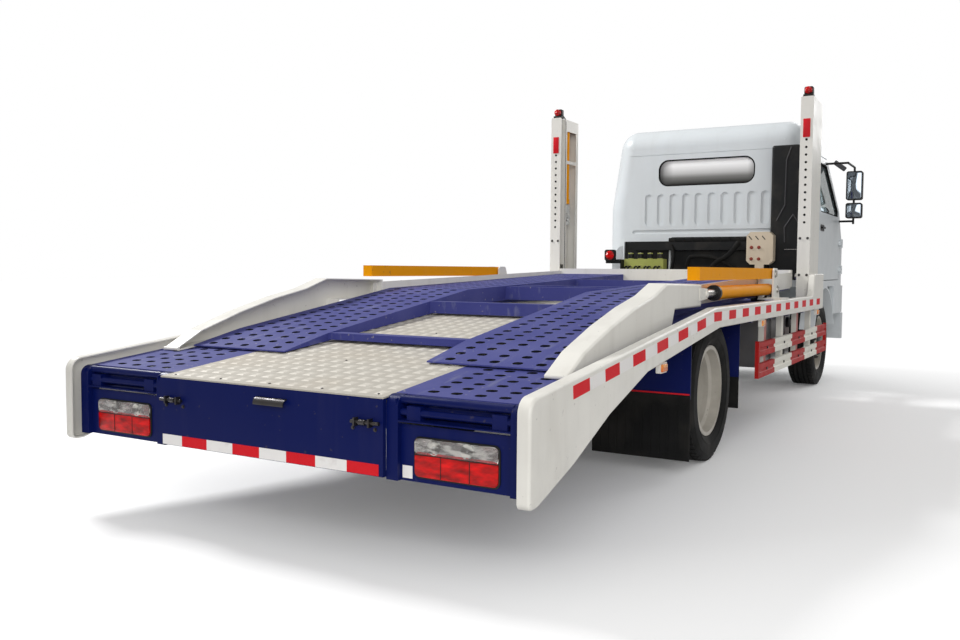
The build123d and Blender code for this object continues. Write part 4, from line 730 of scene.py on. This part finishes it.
def post_fittings():
    """Reflector, bolts of each post, black pieces that paint the shade in the lock holes and along the rear plate's
    inner edge, and the cable down its front.
    """
    inner, outer = post_high.y - 0.1, post_high.y
    middle = (inner + outer) / 2
    face = post_low.x
    reflector, hole_and_edge_shade, bolts = bmesh.new(), bmesh.new(), bmesh.new()
    rounded(reflector, (face - 0.004, middle - 0.028, POST_REFLECTOR[0]),
            (face, middle + 0.028, POST_REFLECTOR[1]), 0.004, edge=0.001)
    for z in POST_BOLT_HEIGHTS:
        for y in (inner + 0.02, outer - 0.02):
            bolt(bolts, (face, y, z), (-1, 0, 0), 0.008, 0.008)
    # painted shade: black discs flush in the lock holes
    for number in range(LOCK_HOLES):
        spot = Vector((face, middle, FIRST_LOCK + number * LOCK_PITCH))
        rod(hole_and_edge_shade, spot - Vector((0.0008, 0, 0)), spot + Vector((0.004, 0, 0)), LOCK_RADIUS, 20)
    # painted shade: a thin black strip where the rear plate's inner edge meets the lip
    slot_end = face + 0.105
    rounded(hole_and_edge_shade, (slot_end, inner - 0.0015, kink_z + 0.12), (slot_end + 0.006, inner + 0.001, post_high.z - 0.02),
            0.002)
    piece(reflector, "post_reflectors", "red_lens", red_tape, pair=True)
    piece(hole_and_edge_shade, "post_hole_and_edge_shade", "rubber", pair=True)
    piece(bolts, "post_bolts", "steel", dark_steel, pair=True)
    top, front = post_high.z, post_high.x + 0.008
    for name, side in SIDES:
        y, outward = side * middle, side * (middle + 0.02)
        line(f"post_cable_{name}",
             [(face + 0.088, y, top + 0.03), (face + 0.13, y, top + 0.05), (face + 0.19, y, top + 0.02),
              (face + 0.26, outward, top + 0.012), (front, outward, top - 0.01), (front, outward, top - 0.2),
              (front, outward, CABLE_FOOT)], 0.005)


# ---- wheels and tyres

RIM_RADIUS = 0.269
TYRE_RADIUS = axle_z
HALF_TYRE = 0.124
TYRE_SIDE = [(TYRE_RADIUS, 0.0), (TYRE_RADIUS, 0.019), (0.407, 0.021), (0.407, 0.029), (TYRE_RADIUS, 0.031),
             (TYRE_RADIUS, 0.058), (0.407, 0.060), (0.407, 0.068), (0.4135, 0.070), (0.4125, 0.097), (0.405, 0.107),
             (0.392, 0.1155), (0.380, 0.1195), (0.379, 0.1215), (0.374, 0.1225), (0.373, 0.1215), (0.345, HALF_TYRE),
             (0.318, 0.1215), (0.317, 0.1230), (0.312, 0.1220), (0.311, 0.1195), (0.290, 0.112), (0.276, 0.102),
             (RIM_RADIUS, 0.092)]
SHOULDER_BLOCKS = 54
WHEEL_NUTS = 10
NUT_RING = 0.1435
NUT_PARTS = ((0.0, 0.005, 0.0165, 18, None), (0.004, 0.024, 0.0145, 6, 0.0135), (0.022, 0.036, 0.008, 12, None))


def tyre(bm, centre):
    """One tyre: grooved carcass with rows of shoulder blocks."""
    profile = TYRE_SIDE + [(radius, -along) for radius, along in reversed(TYRE_SIDE[1:])]
    spun(bm, profile, centre, steps=108)
    blocks = bmesh.new()
    for side in (-1, 1):
        near, far = sorted((side * 0.071, side * 0.104))
        verts = box(blocks, (-0.017, near, 0.402), (0.017, far, TYRE_RADIUS))
        for vert in verts:
            if abs(vert.co.y) > 0.09:
                vert.co.z -= 0.003 if vert.co.z > 0.41 else 0.0
                vert.co.x += 0.006 * side
    around(blocks, SHOULDER_BLOCKS, (0, 0, 0))
    bmesh.ops.translate(blocks, verts=blocks.verts, vec=Vector(centre))
    merge(bm, blocks)


def wheel_fittings(name, node_middle, seat, side, hub_face, cap_radius, body):
    """Nuts (washer, hexagon and stud) and hub cap of one wheel."""
    nuts = bmesh.new()
    start = Vector((node_middle.x, seat, node_middle.z + NUT_RING))
    outwards = Vector((0, side, 0))
    for near, far, radius, sides, end_radius in NUT_PARTS:
        rod(nuts, start + outwards * near, start + outwards * far, radius, sides, end_radius)
    around(nuts, WHEEL_NUTS, (node_middle.x, 0, node_middle.z))
    piece(nuts, f"wheel_nuts_{name}", "steel", dark_steel, body)
    cap = bmesh.new()
    spun(cap, [(0.0, 0.026), (cap_radius * 0.6, 0.024), (cap_radius * 0.9, 0.018), (cap_radius, 0.008),
               (cap_radius, 0.0), (0.0, 0.0)], (node_middle.x, hub_face, node_middle.z), (0, side, 0), 36)
    for number in range(6):
        angle = 2 * pi * number / 6
        spot = Vector((node_middle.x + 0.78 * cap_radius * cos(angle), hub_face + side * 0.019,
                       node_middle.z + 0.78 * cap_radius * sin(angle)))
        bolt(cap, spot, (0, side, 0), 0.006, 0.006)
    piece(cap, f"hub_cap_{name}", "steel", dark_steel, body)


def wheels():
    """Tyres, nuts and hub caps of all wheels."""
    for name, side in SIDES:
        low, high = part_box(f"rear_tyres_{name}")
        inner, outer = (low.y + HALF_TYRE, high.y - HALF_TYRE)[::side]
        bm = bmesh.new()
        for y in (outer, inner):
            tyre(bm, (rear_axle_x, y, axle_z))
        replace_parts(piece(bm, f"tyre_pair_{name}", "tyre", body=f"rear_wheels_{name}", smooth=28),
                    f"rear_tyres_{name}")
        middle = (outer + inner) / 2
        wheel_fittings(f"rear_{name}", Vector((rear_axle_x, middle, axle_z)), middle + side * 0.014, side,
                       middle + side * 0.12, 0.088, f"rear_wheels_{name}")
        low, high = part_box(f"front_tyre_{name}")
        centre = (low.y + high.y) / 2
        bm = bmesh.new()
        tyre(bm, (front_axle_x, centre, axle_z))
        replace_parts(piece(bm, f"tyre_front_{name}", "tyre", body=f"front_wheel_{name}", smooth=28),
                    f"front_tyre_{name}")
        wheel_fittings(f"front_{name}", Vector((front_axle_x, centre, axle_z)), centre + side * 0.074, side,
                       centre + side * 0.1, 0.078, f"front_wheel_{name}")


# ---- cab

def pane_seal(node, direction, name, body, width=0.012, height=0.017):
    """A rubber seal that follows a pane's edge, proud of its outer face."""
    bm = bmesh.new()
    bm.from_mesh(nodes[node].data)
    bmesh.ops.remove_doubles(bm, verts=bm.verts, dist=1e-5)
    bm.normal_update()
    away = [face for face in bm.faces if face.normal.dot(Vector(direction)) < 0.3]
    bmesh.ops.delete(bm, geom=away, context="FACES")
    bmesh.ops.dissolve_limit(bm, angle_limit=radians(1.0), verts=bm.verts, edges=bm.edges)
    ring = set(bmesh.ops.inset_region(bm, faces=bm.faces, thickness=width, use_boundary=True,
                                      use_even_offset=True)["faces"])
    bmesh.ops.delete(bm, geom=[face for face in bm.faces if face not in ring], context="FACES")
    bm.normal_update()
    raised = bmesh.ops.extrude_face_region(bm, geom=list(bm.faces))["geom"]
    bmesh.ops.translate(bm, verts=only_verts(raised), vec=Vector(direction).normalized() * height)
    piece(bm, name, "rubber", body=body, smooth=30)


def cab_seals():
    """Seals round the rear window, the windscreen and the door windows."""
    pane_seal("cab_glass", (-1, 0, 0), "rear_window_seal", "root")
    pane_seal("cab_glass", (0.83, 0, 0.56), "windscreen_seal", "root")
    for name, side in SIDES:
        pane_seal(f"door_glass_{name}", (0, side, 0), f"door_window_seal_{name}", f"door_{name}")


REAR_WINDOW = ((at(6097.5), -0.474, 1.968), (at(6099.5), 0.474, 2.227))


def rear_window_painted_reflection():
    """Opaque sheet over the rear window with a painted reflection and painted shade: bright at the top and dark at
    the bottom and at both ends.
    """
    film = Finish("window_painted_reflection", shade(1.0, 1.0, 1.0), 0.2, gloss=0.3)
    height = film.height(1.966, 2.228)
    # painted reflection: bright at the top, falling to painted shade at the bottom
    film.tint(film.between(height, 0.25, 0.7), shade(0.60, 0.60, 0.59))
    film.tint(film.between(height, 0.55, 0.95), shade(0.13, 0.13, 0.12))
    side = film.node("ShaderNodeSeparateXYZ", {"Vector": film.place}).outputs["Y"]
    # painted shade towards both ends
    film.tint(film.between(side, 0.33, 0.48, 0.0, 0.85), shade(0.30, 0.30, 0.30))
    film.tint(film.between(side, -0.40, -0.48, 0.0, 0.6), shade(0.30, 0.30, 0.30))
    bm = bmesh.new()
    rounded(bm, *REAR_WINDOW, 0.099, segments=10)
    piece(bm, "rear_window_painted_reflection", "window_glass", film.material)


DOOR_FACE = 1.02


def door_trim():
    """A handle on each door: a recess plate, the bar and its two feet."""
    for name, side in SIDES:
        plate, bar, foot = (sorted((side * (DOOR_FACE + near), side * (DOOR_FACE + far)))
                            for near, far in ((0.0, 0.004), (0.012, 0.022), (0.0, 0.016)))
        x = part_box(f"door_{name}")[0].x + 0.09
        bm = bmesh.new()
        rounded(bm, (x, plate[0], 1.52), (x + 0.19, plate[1], 1.58), 0.02, axis=1)
        rounded(bm, (x + 0.015, bar[0], 1.542), (x + 0.165, bar[1], 1.562), 0.008, axis=1, edge=0.002)
        for start in (x + 0.02, x + 0.15):
            box(bm, (start, foot[0], 1.544), (start + 0.012, foot[1], 1.56), 0.002)
        piece(bm, f"door_handle_{name}", "black_plastic", body=f"door_{name}")


TOWER_LINES = (((-0.83, 2.27), (-0.79, 2.15), (-0.785, 1.74), (-0.715, 1.60)),
               ((-0.785, 1.535), (-0.86, 1.65), (-0.93, 1.54)), ((-0.785, 1.535), (-0.79, 1.40)))


def tower_trim():
    """Moulded lines and the joint of the intake tower."""
    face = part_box("intake_tower")[0].x
    bm, joint = bmesh.new(), bmesh.new()
    for run in TOWER_LINES:
        for start, end in zip(run, run[1:]):
            rod(bm, (face, *start), (face, *end), 0.006, 8)
            spun(bm, [(0.0, 0.006), (0.006, 0.0), (0.0, -0.006)], (face, *end), (1, 0, 0), 8)
    box(joint, (face - 0.002, -0.96, 1.329), (face + 0.001, -0.79, 1.334))
    piece(bm, "tower_lines", "black_plastic", dash_plastic)
    piece(joint, "tower_joint", "steel")


KNOB_PLACES = [(y, z) for y in (-0.527, -0.594) for z in (1.347, 1.241)]
FIRST_SLIT = (-0.515, 1.435)
SLIT_PITCH = 0.06


def control_box_fittings():
    """Knobs of the control box, and black pieces that paint the shade in its slits."""
    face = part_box("control_box")[0].x
    knobs, slits = bmesh.new(), bmesh.new()
    for y, z in KNOB_PLACES:
        spun(knobs, [(0.0, 0.014), (0.010, 0.013), (0.014, 0.009), (0.016, 0.0), (0.0, 0.0)], (face, y, z),
             (-1, 0, 0), 20)
    # painted shade: flat black pieces flush with the box face
    for number in range(3):
        verts = box(slits, (face - 0.0015, -0.022, -0.004), (face + 0.001, 0.022, 0.004))
        middle = (0, FIRST_SLIT[0] - number * SLIT_PITCH, FIRST_SLIT[1])
        place = Matrix.Translation(middle) @ Matrix.Rotation(radians(50), 4, "X")
        bmesh.ops.transform(slits, matrix=place, verts=verts)
    piece(knobs, "control_knobs", "beige_paint", knob_finish)
    piece(slits, "control_box_painted_slit_shade", "black_plastic")


AIR_HOSES = (((5980, -0.36, 1.40), (5900, -0.30, 1.27), (5920, -0.16, 1.22), (5950, -0.10, 1.13)),
             ((5930, 0.12, 1.14), (5910, 0.11, 1.26), (5920, 0.02, 1.27), (5920, -0.14, 1.26), (5930, -0.26, 1.20),
              (5940, -0.36, 1.14)),
             ((5990, 0.30, 1.38), (5970, 0.26, 1.30), (5950, 0.27, 1.20), (5960, 0.29, 1.12)))
TRUNKING_RIBS = 8


def cab_back():
    """Black panels that paint the shade of the recess under the cab's rear panel, the trunking in it and the air
    hoses before it.
    """
    face = cab_rear
    recess, lip, trunk = bmesh.new(), bmesh.new(), bmesh.new()
    # painted shade: black panels flush with the cab's rear face stand for the shaded recess
    rounded(recess, (face - 0.005, -0.66, 1.10), (face + 0.002, 0.33, 1.46), 0.01)
    rounded(recess, (face - 0.004, 0.34, 1.10), (face + 0.002, 0.83, 1.42), 0.02)
    box(lip, (face - 0.03, 0.325, 1.12), (face - 0.002, 0.345, 1.44), 0.004)
    box(lip, (face - 0.03, 0.815, 1.14), (face - 0.002, 0.83, 1.42), 0.004)
    rounded(trunk, (face - 0.07, -0.42, 1.405), (face - 0.004, 0.335, 1.452), 0.016, axis=1)
    for number in range(TRUNKING_RIBS):
        y = -0.36 + number * 0.09
        rounded(trunk, (face - 0.074, y, 1.322), (face - 0.002, y + 0.012, 1.456), 0.014, axis=1)
    piece(recess, "cab_back_painted_recess_shade", "black_plastic")
    piece(lip, "cab_back_lip", "cab_paint")
    piece(trunk, "cab_back_trunking", "rubber")
    for number, run in enumerate(AIR_HOSES):
        line(f"air_hose_{number}", [(at(station), y, z) for station, y, z in run], 0.024 - number * 0.004)


VALVE_SECTIONS = 4
UNION_SHIFT = 0.018


def valve_fittings():
    """Unions and coils on the valve block, and the hydraulic lines that leave it."""
    low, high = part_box("valve_block")
    unions, coils = bmesh.new(), bmesh.new()
    for section in range(VALVE_SECTIONS):
        y = low.y + 0.05 + section * 0.1
        rod(coils, (low.x + 0.05, y, high.z - 0.052), (low.x + 0.05, y, high.z - 0.01), 0.029, 20)
        rod(unions, (low.x + 0.05, y, high.z - 0.012), (low.x + 0.05, y, high.z + 0.006), 0.011, 6)
        for shift in (-UNION_SHIFT, UNION_SHIFT):
            rod(unions, (low.x, y + shift, low.z + 0.035), (low.x - 0.022, y + shift, low.z + 0.035), 0.011, 6)
    piece(coils, "valve_coils", "black_plastic")
    piece(unions, "valve_unions", "steel")
    for section in range(VALVE_SECTIONS):
        for shift, letter in ((-UNION_SHIFT, "a"), (UNION_SHIFT, "b")):
            y = low.y + 0.05 + section * 0.1 + shift
            start = Vector((low.x - 0.02, y, low.z + 0.035))
            run = [start + Vector(step) for step in (
                (0, 0, 0), (-0.06, 0, 0), (-0.10, -0.02, -0.05), (-0.11, -0.05 - section * 0.02, -0.16),
                (-0.08, -0.10 - section * 0.03, -0.26))]
            run.append((low.x + 0.02, y - 0.16 - section * 0.04, low.z - 0.33))
            line(f"hydraulic_line_{section}_{letter}", run, 0.008)


def rack_lamp():
    """Red lamp on its black bracket at the left end of the rack."""
    x, y = at(5650), 0.81
    bracket, glow = bmesh.new(), bmesh.new()
    box(bracket, (x + 0.02, 0.70, 1.195), (x + 0.028, y + 0.05, 1.235), 0.001, 1)
    box(bracket, (x + 0.02, 0.70, 1.09), (x + 0.2, 0.708, 1.235), 0.001, 1)
    rounded(bracket, (x, y - 0.055, 1.22), (x + 0.03, y + 0.055, 1.33), 0.02)
    spun(glow, [(0.0, 0.018), (0.02, 0.017), (0.038, 0.010), (0.044, 0.0), (0.0, 0.0)], (x, y, 1.275), (-1, 0, 0), 32)
    piece(bracket, "rack_lamp_bracket", "black_plastic")
    piece(glow, "rack_lamp_lens", "red_lens")


MIRROR_HEIGHTS = ((1.88, 0.30), (1.69, 0.16))


def mirrors():
    """Reflective glass in the mirrors' rear faces, and the small near mirror on each arm."""
    mirror_finish = bare_metal("mirror_glass", shade(0.50, 0.53, 0.56), (0.02, 0.05), 0.1, 1.0)
    for name, side in SIDES:
        low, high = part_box(f"mirrors_{name}")
        outer = high.y if side > 0 else low.y
        bm = bmesh.new()
        for bottom, tall in MIRROR_HEIGHTS:
            ys = sorted((outer - side * 0.012, outer - side * 0.148))
            rounded(bm, (at(7467), ys[0], bottom + 0.012), (at(7471), ys[1], bottom + tall - 0.012), 0.016,
                    edge=0.001)
        piece(bm, f"mirror_glass_{name}", "mirror_shell", mirror_finish, f"door_{name}")
        near = bmesh.new()
        ys = sorted((side * 0.95, side * 1.09))
        verts = rounded(near, (at(7450), ys[0], 2.215), (at(7475), ys[1], 2.265), 0.012, edge=0.004)
        bmesh.ops.rotate(near, verts=verts, cent=(at(7460), side * 1.02, 2.24),
                         matrix=Matrix.Rotation(radians(side * -38), 3, "X"))
        piece(near, f"near_mirror_{name}", "mirror_shell", dash_plastic, f"door_{name}")


BOWL_PLACES = (0.70, 0.83)
WIPER_PLACES = (0.25, -0.5)


def front_details():
    """Headlamp reflectors, indicators and wipers of the cab's front."""
    low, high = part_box("headlamps")
    bowls, amber, black = bmesh.new(), bmesh.new(), bmesh.new()
    for y in BOWL_PLACES:
        spun(bowls, [(0.0, 0.004), (0.02, 0.006), (0.045, 0.016), (0.056, 0.030), (0.058, 0.030), (0.058, 0.0),
                     (0.0, 0.0)], (low.x + 0.004, y, (low.z + high.z) / 2), (1, 0, 0), 32)
    rounded(amber, (low.x, 0.905, low.z + 0.01), (low.x + 0.03, 0.955, high.z - 0.01), 0.012, edge=0.004)
    for y in WIPER_PLACES:
        rod(black, (at(7790), y, 1.655), (at(7700), y + 0.42, 1.80), 0.006, 10)
        rod(black, (at(7805), y, 1.64), (at(7780), y, 1.668), 0.014, 14)
    piece(bowls, "headlamp_bowls", "steel", chrome, pair=True)
    piece(amber, "front_indicators", "amber_lens", pair=True)
    piece(black, "wipers", "black_plastic")


# ---- underside and sides

ARM_MIDDLE = 1.104
CYLINDER_HEIGHT = 1.0
PIN_PLACES = ((3900, 1.11), (3970, CYLINDER_HEIGHT))


def arm_fittings():
    """Glands of the tilt cylinders, and the heads of the pins in the brackets."""
    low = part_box("tilt_cylinders")[0]
    collar, pins = bmesh.new(), bmesh.new()
    spun(collar, [(0.0255, 0.0), (0.046, 0.0), (0.046, 0.03), (0.040, 0.036), (0.0255, 0.036)],
         (low.x - 0.034, ARM_MIDDLE, CYLINDER_HEIGHT), (1, 0, 0), 36)
    piece(collar, "cylinder_glands", "frame_paint", body="tilt_cylinders", pair=True)
    for station, z in PIN_PLACES:
        bolt(pins, (at(station), ARM_MIDDLE + 0.052, z), (0, 1, 0), 0.022, 0.012)
    piece(pins, "pin_heads", "steel", pair=True)


HANGER_STATIONS = (3730, 4280, 4830, 5380)
GUARD_BAR_MIDDLES = (0.4575, 0.6025)


def guard_bolts():
    """Bolts of the side guards' hangers and end posts."""
    low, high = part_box("side_guards")
    bm = bmesh.new()
    for x in (low.x + 0.015, high.x - 0.015, *(at(station) for station in HANGER_STATIONS)):
        for z in GUARD_BAR_MIDDLES:
            bolt(bm, (x, high.y - 0.009, z), (0, 1, 0), 0.009, 0.007)
    piece(bm, "guard_bolts", "steel", dark_steel, pair=True)


def tank_trim():
    """Straps and filler cap of the fuel tank, and the catches of the battery box."""
    low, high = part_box("fuel_tank")
    straps, caps = bmesh.new(), bmesh.new()
    for share in (0.22, 0.78):
        x = low.x + share * (high.x - low.x)
        rounded(straps, (x - 0.02, low.y - 0.0035, low.z - 0.0035),
                (x + 0.02, high.y + 0.0035, high.z + 0.0035), 0.03, edge=0.001)
    spun(caps, [(0.0, 0.03), (0.03, 0.028), (0.042, 0.02), (0.042, 0.0), (0.0, 0.0)],
         (high.x - 0.12, low.y + 0.001, high.z - 0.09), (0, -1, 0), 28)
    low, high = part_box("battery_box")
    for x in (low.x + 0.1, high.x - 0.1):
        box(caps, (x - 0.015, high.y - 0.001, high.z - 0.10), (x + 0.015, high.y + 0.006, high.z - 0.02), 0.002)
    piece(straps, "tank_straps", "steel", dark_steel)
    piece(caps, "tank_cap_and_catches", "black_plastic")


def cylinder_hoses():
    """Hydraulic hoses that feed the tilt cylinders' bases from under the deck."""
    for name, side in SIDES:
        for number, shift in enumerate((0.0, 0.03)):
            port = at(3860 - 260 * number)
            line(f"cylinder_hose_{name}_{number}",
                 [(port, side * ARM_MIDDLE, 0.958), (port, side * ARM_MIDDLE, 0.935),
                  (at(3900), side * (1.02 - shift), 0.925), (at(4050), side * (1.0 - shift), 0.915),
                  (at(4300), side * (0.99 - shift), 0.905)], 0.009)


FLAP_RIBS = 11
RIB_PITCH = 0.05


def flap_ribs():
    """Moulded ribs and the thin red line of the rear mud flaps."""
    low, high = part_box("mud_flaps")
    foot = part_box("mudguards")[0].z
    ribs, red = bmesh.new(), bmesh.new()
    for number in range(FLAP_RIBS):
        y = 0.58 + number * RIB_PITCH
        rounded(ribs, (low.x - 0.003, y, low.z + 0.03), (low.x + 0.001, y + 0.012, foot - 0.03), 0.003)
    box(red, (low.x - 0.002, 0.56, foot + 0.022), (low.x + 0.006, high.y - 0.005, foot + 0.03))
    piece(ribs, "flap_ribs", "rubber", pair=True)
    piece(red, "flap_lines", "navy_paint", red_tape, smooth=None, pair=True)


# ---- seats

SEAT_PLACES = ((0.56, 0.48), (0.0, 0.42), (-0.56, 0.48))
BACK_LEAN = -0.11
VOXEL = 0.014
PRESSURE = 4
CLOTH_STEPS = 12


def cushion(name, low, high, crown, lean=0.0):
    """A stuffed pad: a rounded block, swelled by a cloth simulation."""
    bm = bmesh.new()
    box(bm, low, high, 0.03, 3)
    if lean:
        foot = Vector(((low[0] + high[0]) / 2, 0, low[2]))
        bmesh.ops.rotate(bm, verts=bm.verts, cent=foot, matrix=Matrix.Rotation(lean, 3, "Y"))
    made = piece(bm, name, "seat_cloth")
    swell(made, crown)
    soften = made.modifiers.new("soften", "SUBSURF")
    soften.levels = soften.render_levels = 1


def swell(made, crown):
    """Blow a pad up a little under pressure, with each point's way capped."""
    scene = bpy.context.scene
    bpy.context.view_layer.objects.active = made
    remesh = made.modifiers.new("remesh", "REMESH")
    remesh.mode = "VOXEL"
    remesh.voxel_size = VOXEL
    bpy.ops.object.modifier_apply(modifier=remesh.name)
    rest = [vert.co.copy() for vert in made.data.vertices]
    cloth_run = made.modifiers.new("cloth", "CLOTH")
    cloth_run.settings.use_pressure = True
    cloth_run.settings.uniform_pressure_force = PRESSURE
    cloth_run.settings.effector_weights.gravity = 0
    for step in range(1, CLOTH_STEPS + 1):
        scene.frame_set(step)
    shaped = made.evaluated_get(bpy.context.evaluated_depsgraph_get()).data
    moved = [vert.co.copy() for vert in shaped.vertices]
    made.modifiers.remove(cloth_run)
    for vert, start, end in zip(made.data.vertices, rest, moved):
        way = end - start
        vert.co = start + way * min(1.0, crown / max(way.length, 1e-6))
    scene.frame_set(1)
    made.data.shade_smooth()


def seats():
    """Seat cushions and backs for the three places, on a plain base."""
    low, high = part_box("seats")
    base = bmesh.new()
    for number, (middle, wide) in enumerate(SEAT_PLACES):
        left, right = middle + wide / 2, middle - wide / 2
        box(base, (low.x + 0.14, right + 0.03, low.z), (high.x - 0.04, left - 0.03, low.z + 0.28), 0.02)
        cushion(f"seat_cushion_{number}", (low.x + 0.19, right + 0.012, low.z + 0.285),
                (high.x - 0.02, left - 0.012, low.z + 0.43), 0.012)
        cushion(f"seat_back_{number}", (low.x + 0.12, right + 0.012, low.z + 0.40),
                (low.x + 0.22, left - 0.012, high.z - 0.03), 0.010, BACK_LEAN)
    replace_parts(piece(base, "seat_bases", "black_plastic", dash_plastic), "seats")


# ---- stage, light and camera

STUDIO_LEVEL = 0.46
GLOSS_LEVEL = 0.42
FLOOR_FADE = (2.6, 4.6)
FLOOR_LIFT = 0.08


def stage():
    """A pale floor that keeps the truck's shadow and fades to the white background further out."""
    bm = bmesh.new()
    bmesh.ops.create_grid(bm, x_segments=1, y_segments=1, size=60)
    mesh = bpy.data.meshes.new("floor")
    bm.to_mesh(mesh)
    bm.free()
    floor = bpy.data.objects.new("floor", mesh)
    bpy.context.scene.collection.objects.link(floor)
    ground = Finish("floor_finish", shade(0.97, 0.97, 0.97), 0.9, gloss=0.05)
    distance = ground.node("ShaderNodeVectorMath", {0: ground.stretched(0.72, 1.0, 1.0)}, operation="LENGTH")
    far = ground.between(distance.outputs["Value"], *FLOOR_FADE)
    path = ground.node("ShaderNodeLightPath")
    mirrored = ground.between(path.outputs["Is Glossy Ray"], 0, 1, 0.0, GLOSS_LEVEL)
    seen = ground.sum(path.outputs["Is Camera Ray"], path.outputs["Is Transmission Ray"], mirrored)
    ground.tint(far, (0, 0, 0, 1))
    lift = ground.sum(seen, ground.between(distance.outputs["Value"], *FLOOR_FADE, FLOOR_LIFT, 1.0),
                      operation="MULTIPLY")
    ground.feed(ground.shader, {"Emission Color": (1, 1, 1, 1), "Emission Strength": lift})
    mesh.materials.append(ground.material)


def surroundings():
    """White background to the camera and through glass, a calmer grey to reflections and diffuse light."""
    world = bpy.data.worlds.new("studio")
    bpy.context.scene.world = world
    world.use_nodes = True
    tree = world.node_tree
    background = tree.nodes["Background"]
    background.inputs["Color"].default_value = (1, 1, 1, 1)
    path = tree.nodes.new("ShaderNodeLightPath")
    level = None
    for ray, share in (("Is Camera Ray", 1.0 - STUDIO_LEVEL), ("Is Transmission Ray", 1.0 - STUDIO_LEVEL),
                       ("Is Glossy Ray", GLOSS_LEVEL - STUDIO_LEVEL)):
        step = tree.nodes.new("ShaderNodeMath")
        step.operation = "MULTIPLY_ADD"
        tree.links.new(path.outputs[ray], step.inputs[0])
        step.inputs[1].default_value = share
        if level is None:
            step.inputs[2].default_value = STUDIO_LEVEL
        else:
            tree.links.new(level, step.inputs[2])
        level = step.outputs[0]
    tree.links.new(level, background.inputs["Strength"])


def lamp(name, place, target, size, power):
    """A soft area light aimed at a point."""
    light = bpy.data.lights.new(name, "AREA")
    light.size = size
    light.energy = power
    made = bpy.data.objects.new(name, light)
    made.location = place
    made.rotation_euler = (Vector(target) - Vector(place)).to_track_quat("-Z", "Y").to_euler()
    bpy.context.scene.collection.objects.link(made)


CAMERA_PLACE = Vector((-6.607, -2.558, 1.127))
CAMERA_YAW = radians(30.40)
CAMERA_PITCH = radians(3.25)
CAMERA_ROLL = radians(0.43)
LENS_LENGTH = 33.506
SENSOR_WIDTH = 36.0


def camera():
    """The photograph's viewpoint."""
    lens_data = bpy.data.cameras.new("view")
    lens_data.sensor_width = SENSOR_WIDTH
    lens_data.lens = LENS_LENGTH
    made = bpy.data.objects.new("view", lens_data)
    forward = Vector((cos(CAMERA_YAW) * cos(CAMERA_PITCH), sin(CAMERA_YAW) * cos(CAMERA_PITCH), -sin(CAMERA_PITCH)))
    right = Vector((sin(CAMERA_YAW), -cos(CAMERA_YAW), 0))
    up = right.cross(forward)
    turned_right = right * cos(CAMERA_ROLL) + up * sin(CAMERA_ROLL)
    turned_up = up * cos(CAMERA_ROLL) - right * sin(CAMERA_ROLL)
    axes = Matrix((turned_right, turned_up, -forward)).transposed()
    made.matrix_world = Matrix.Translation(CAMERA_PLACE) @ axes.to_4x4()
    bpy.context.scene.collection.objects.link(made)
    bpy.context.scene.camera = made


# ---- putting it together

tread_lozenges()
hole_painted_shade("lower_tracks", "root")
hole_painted_shade("upper_deck", "upper_deck")
for make in (rail_tape, rear_strip, beam_caps, deck_screws, rear_latch_bolts, tail_lamps, post_lamps, marker_lamps,
             post_fittings, wheels, cab_seals, door_trim, rear_window_painted_reflection, tower_trim, control_box_fittings,
             cab_back, valve_fittings, rack_lamp, mirrors, front_details, arm_fittings, guard_bolts, tank_trim,
             cylinder_hoses, flap_ribs, seats, stage, surroundings):
    make()
lamp("key_light", (-1.5, 9.0, 9.0), (0, -0.3, 0.5), 2.5, 1320)
lamp("fill_light", (-10.0, -5.0, 3.5), (0, 0, 1.2), 6.0, 480)
lamp("front_light", (9.0, -3.0, 6.0), (0, 0, 1.0), 6.0, 300)
camera()
bpy.context.scene.view_settings.view_transform = "Standard"
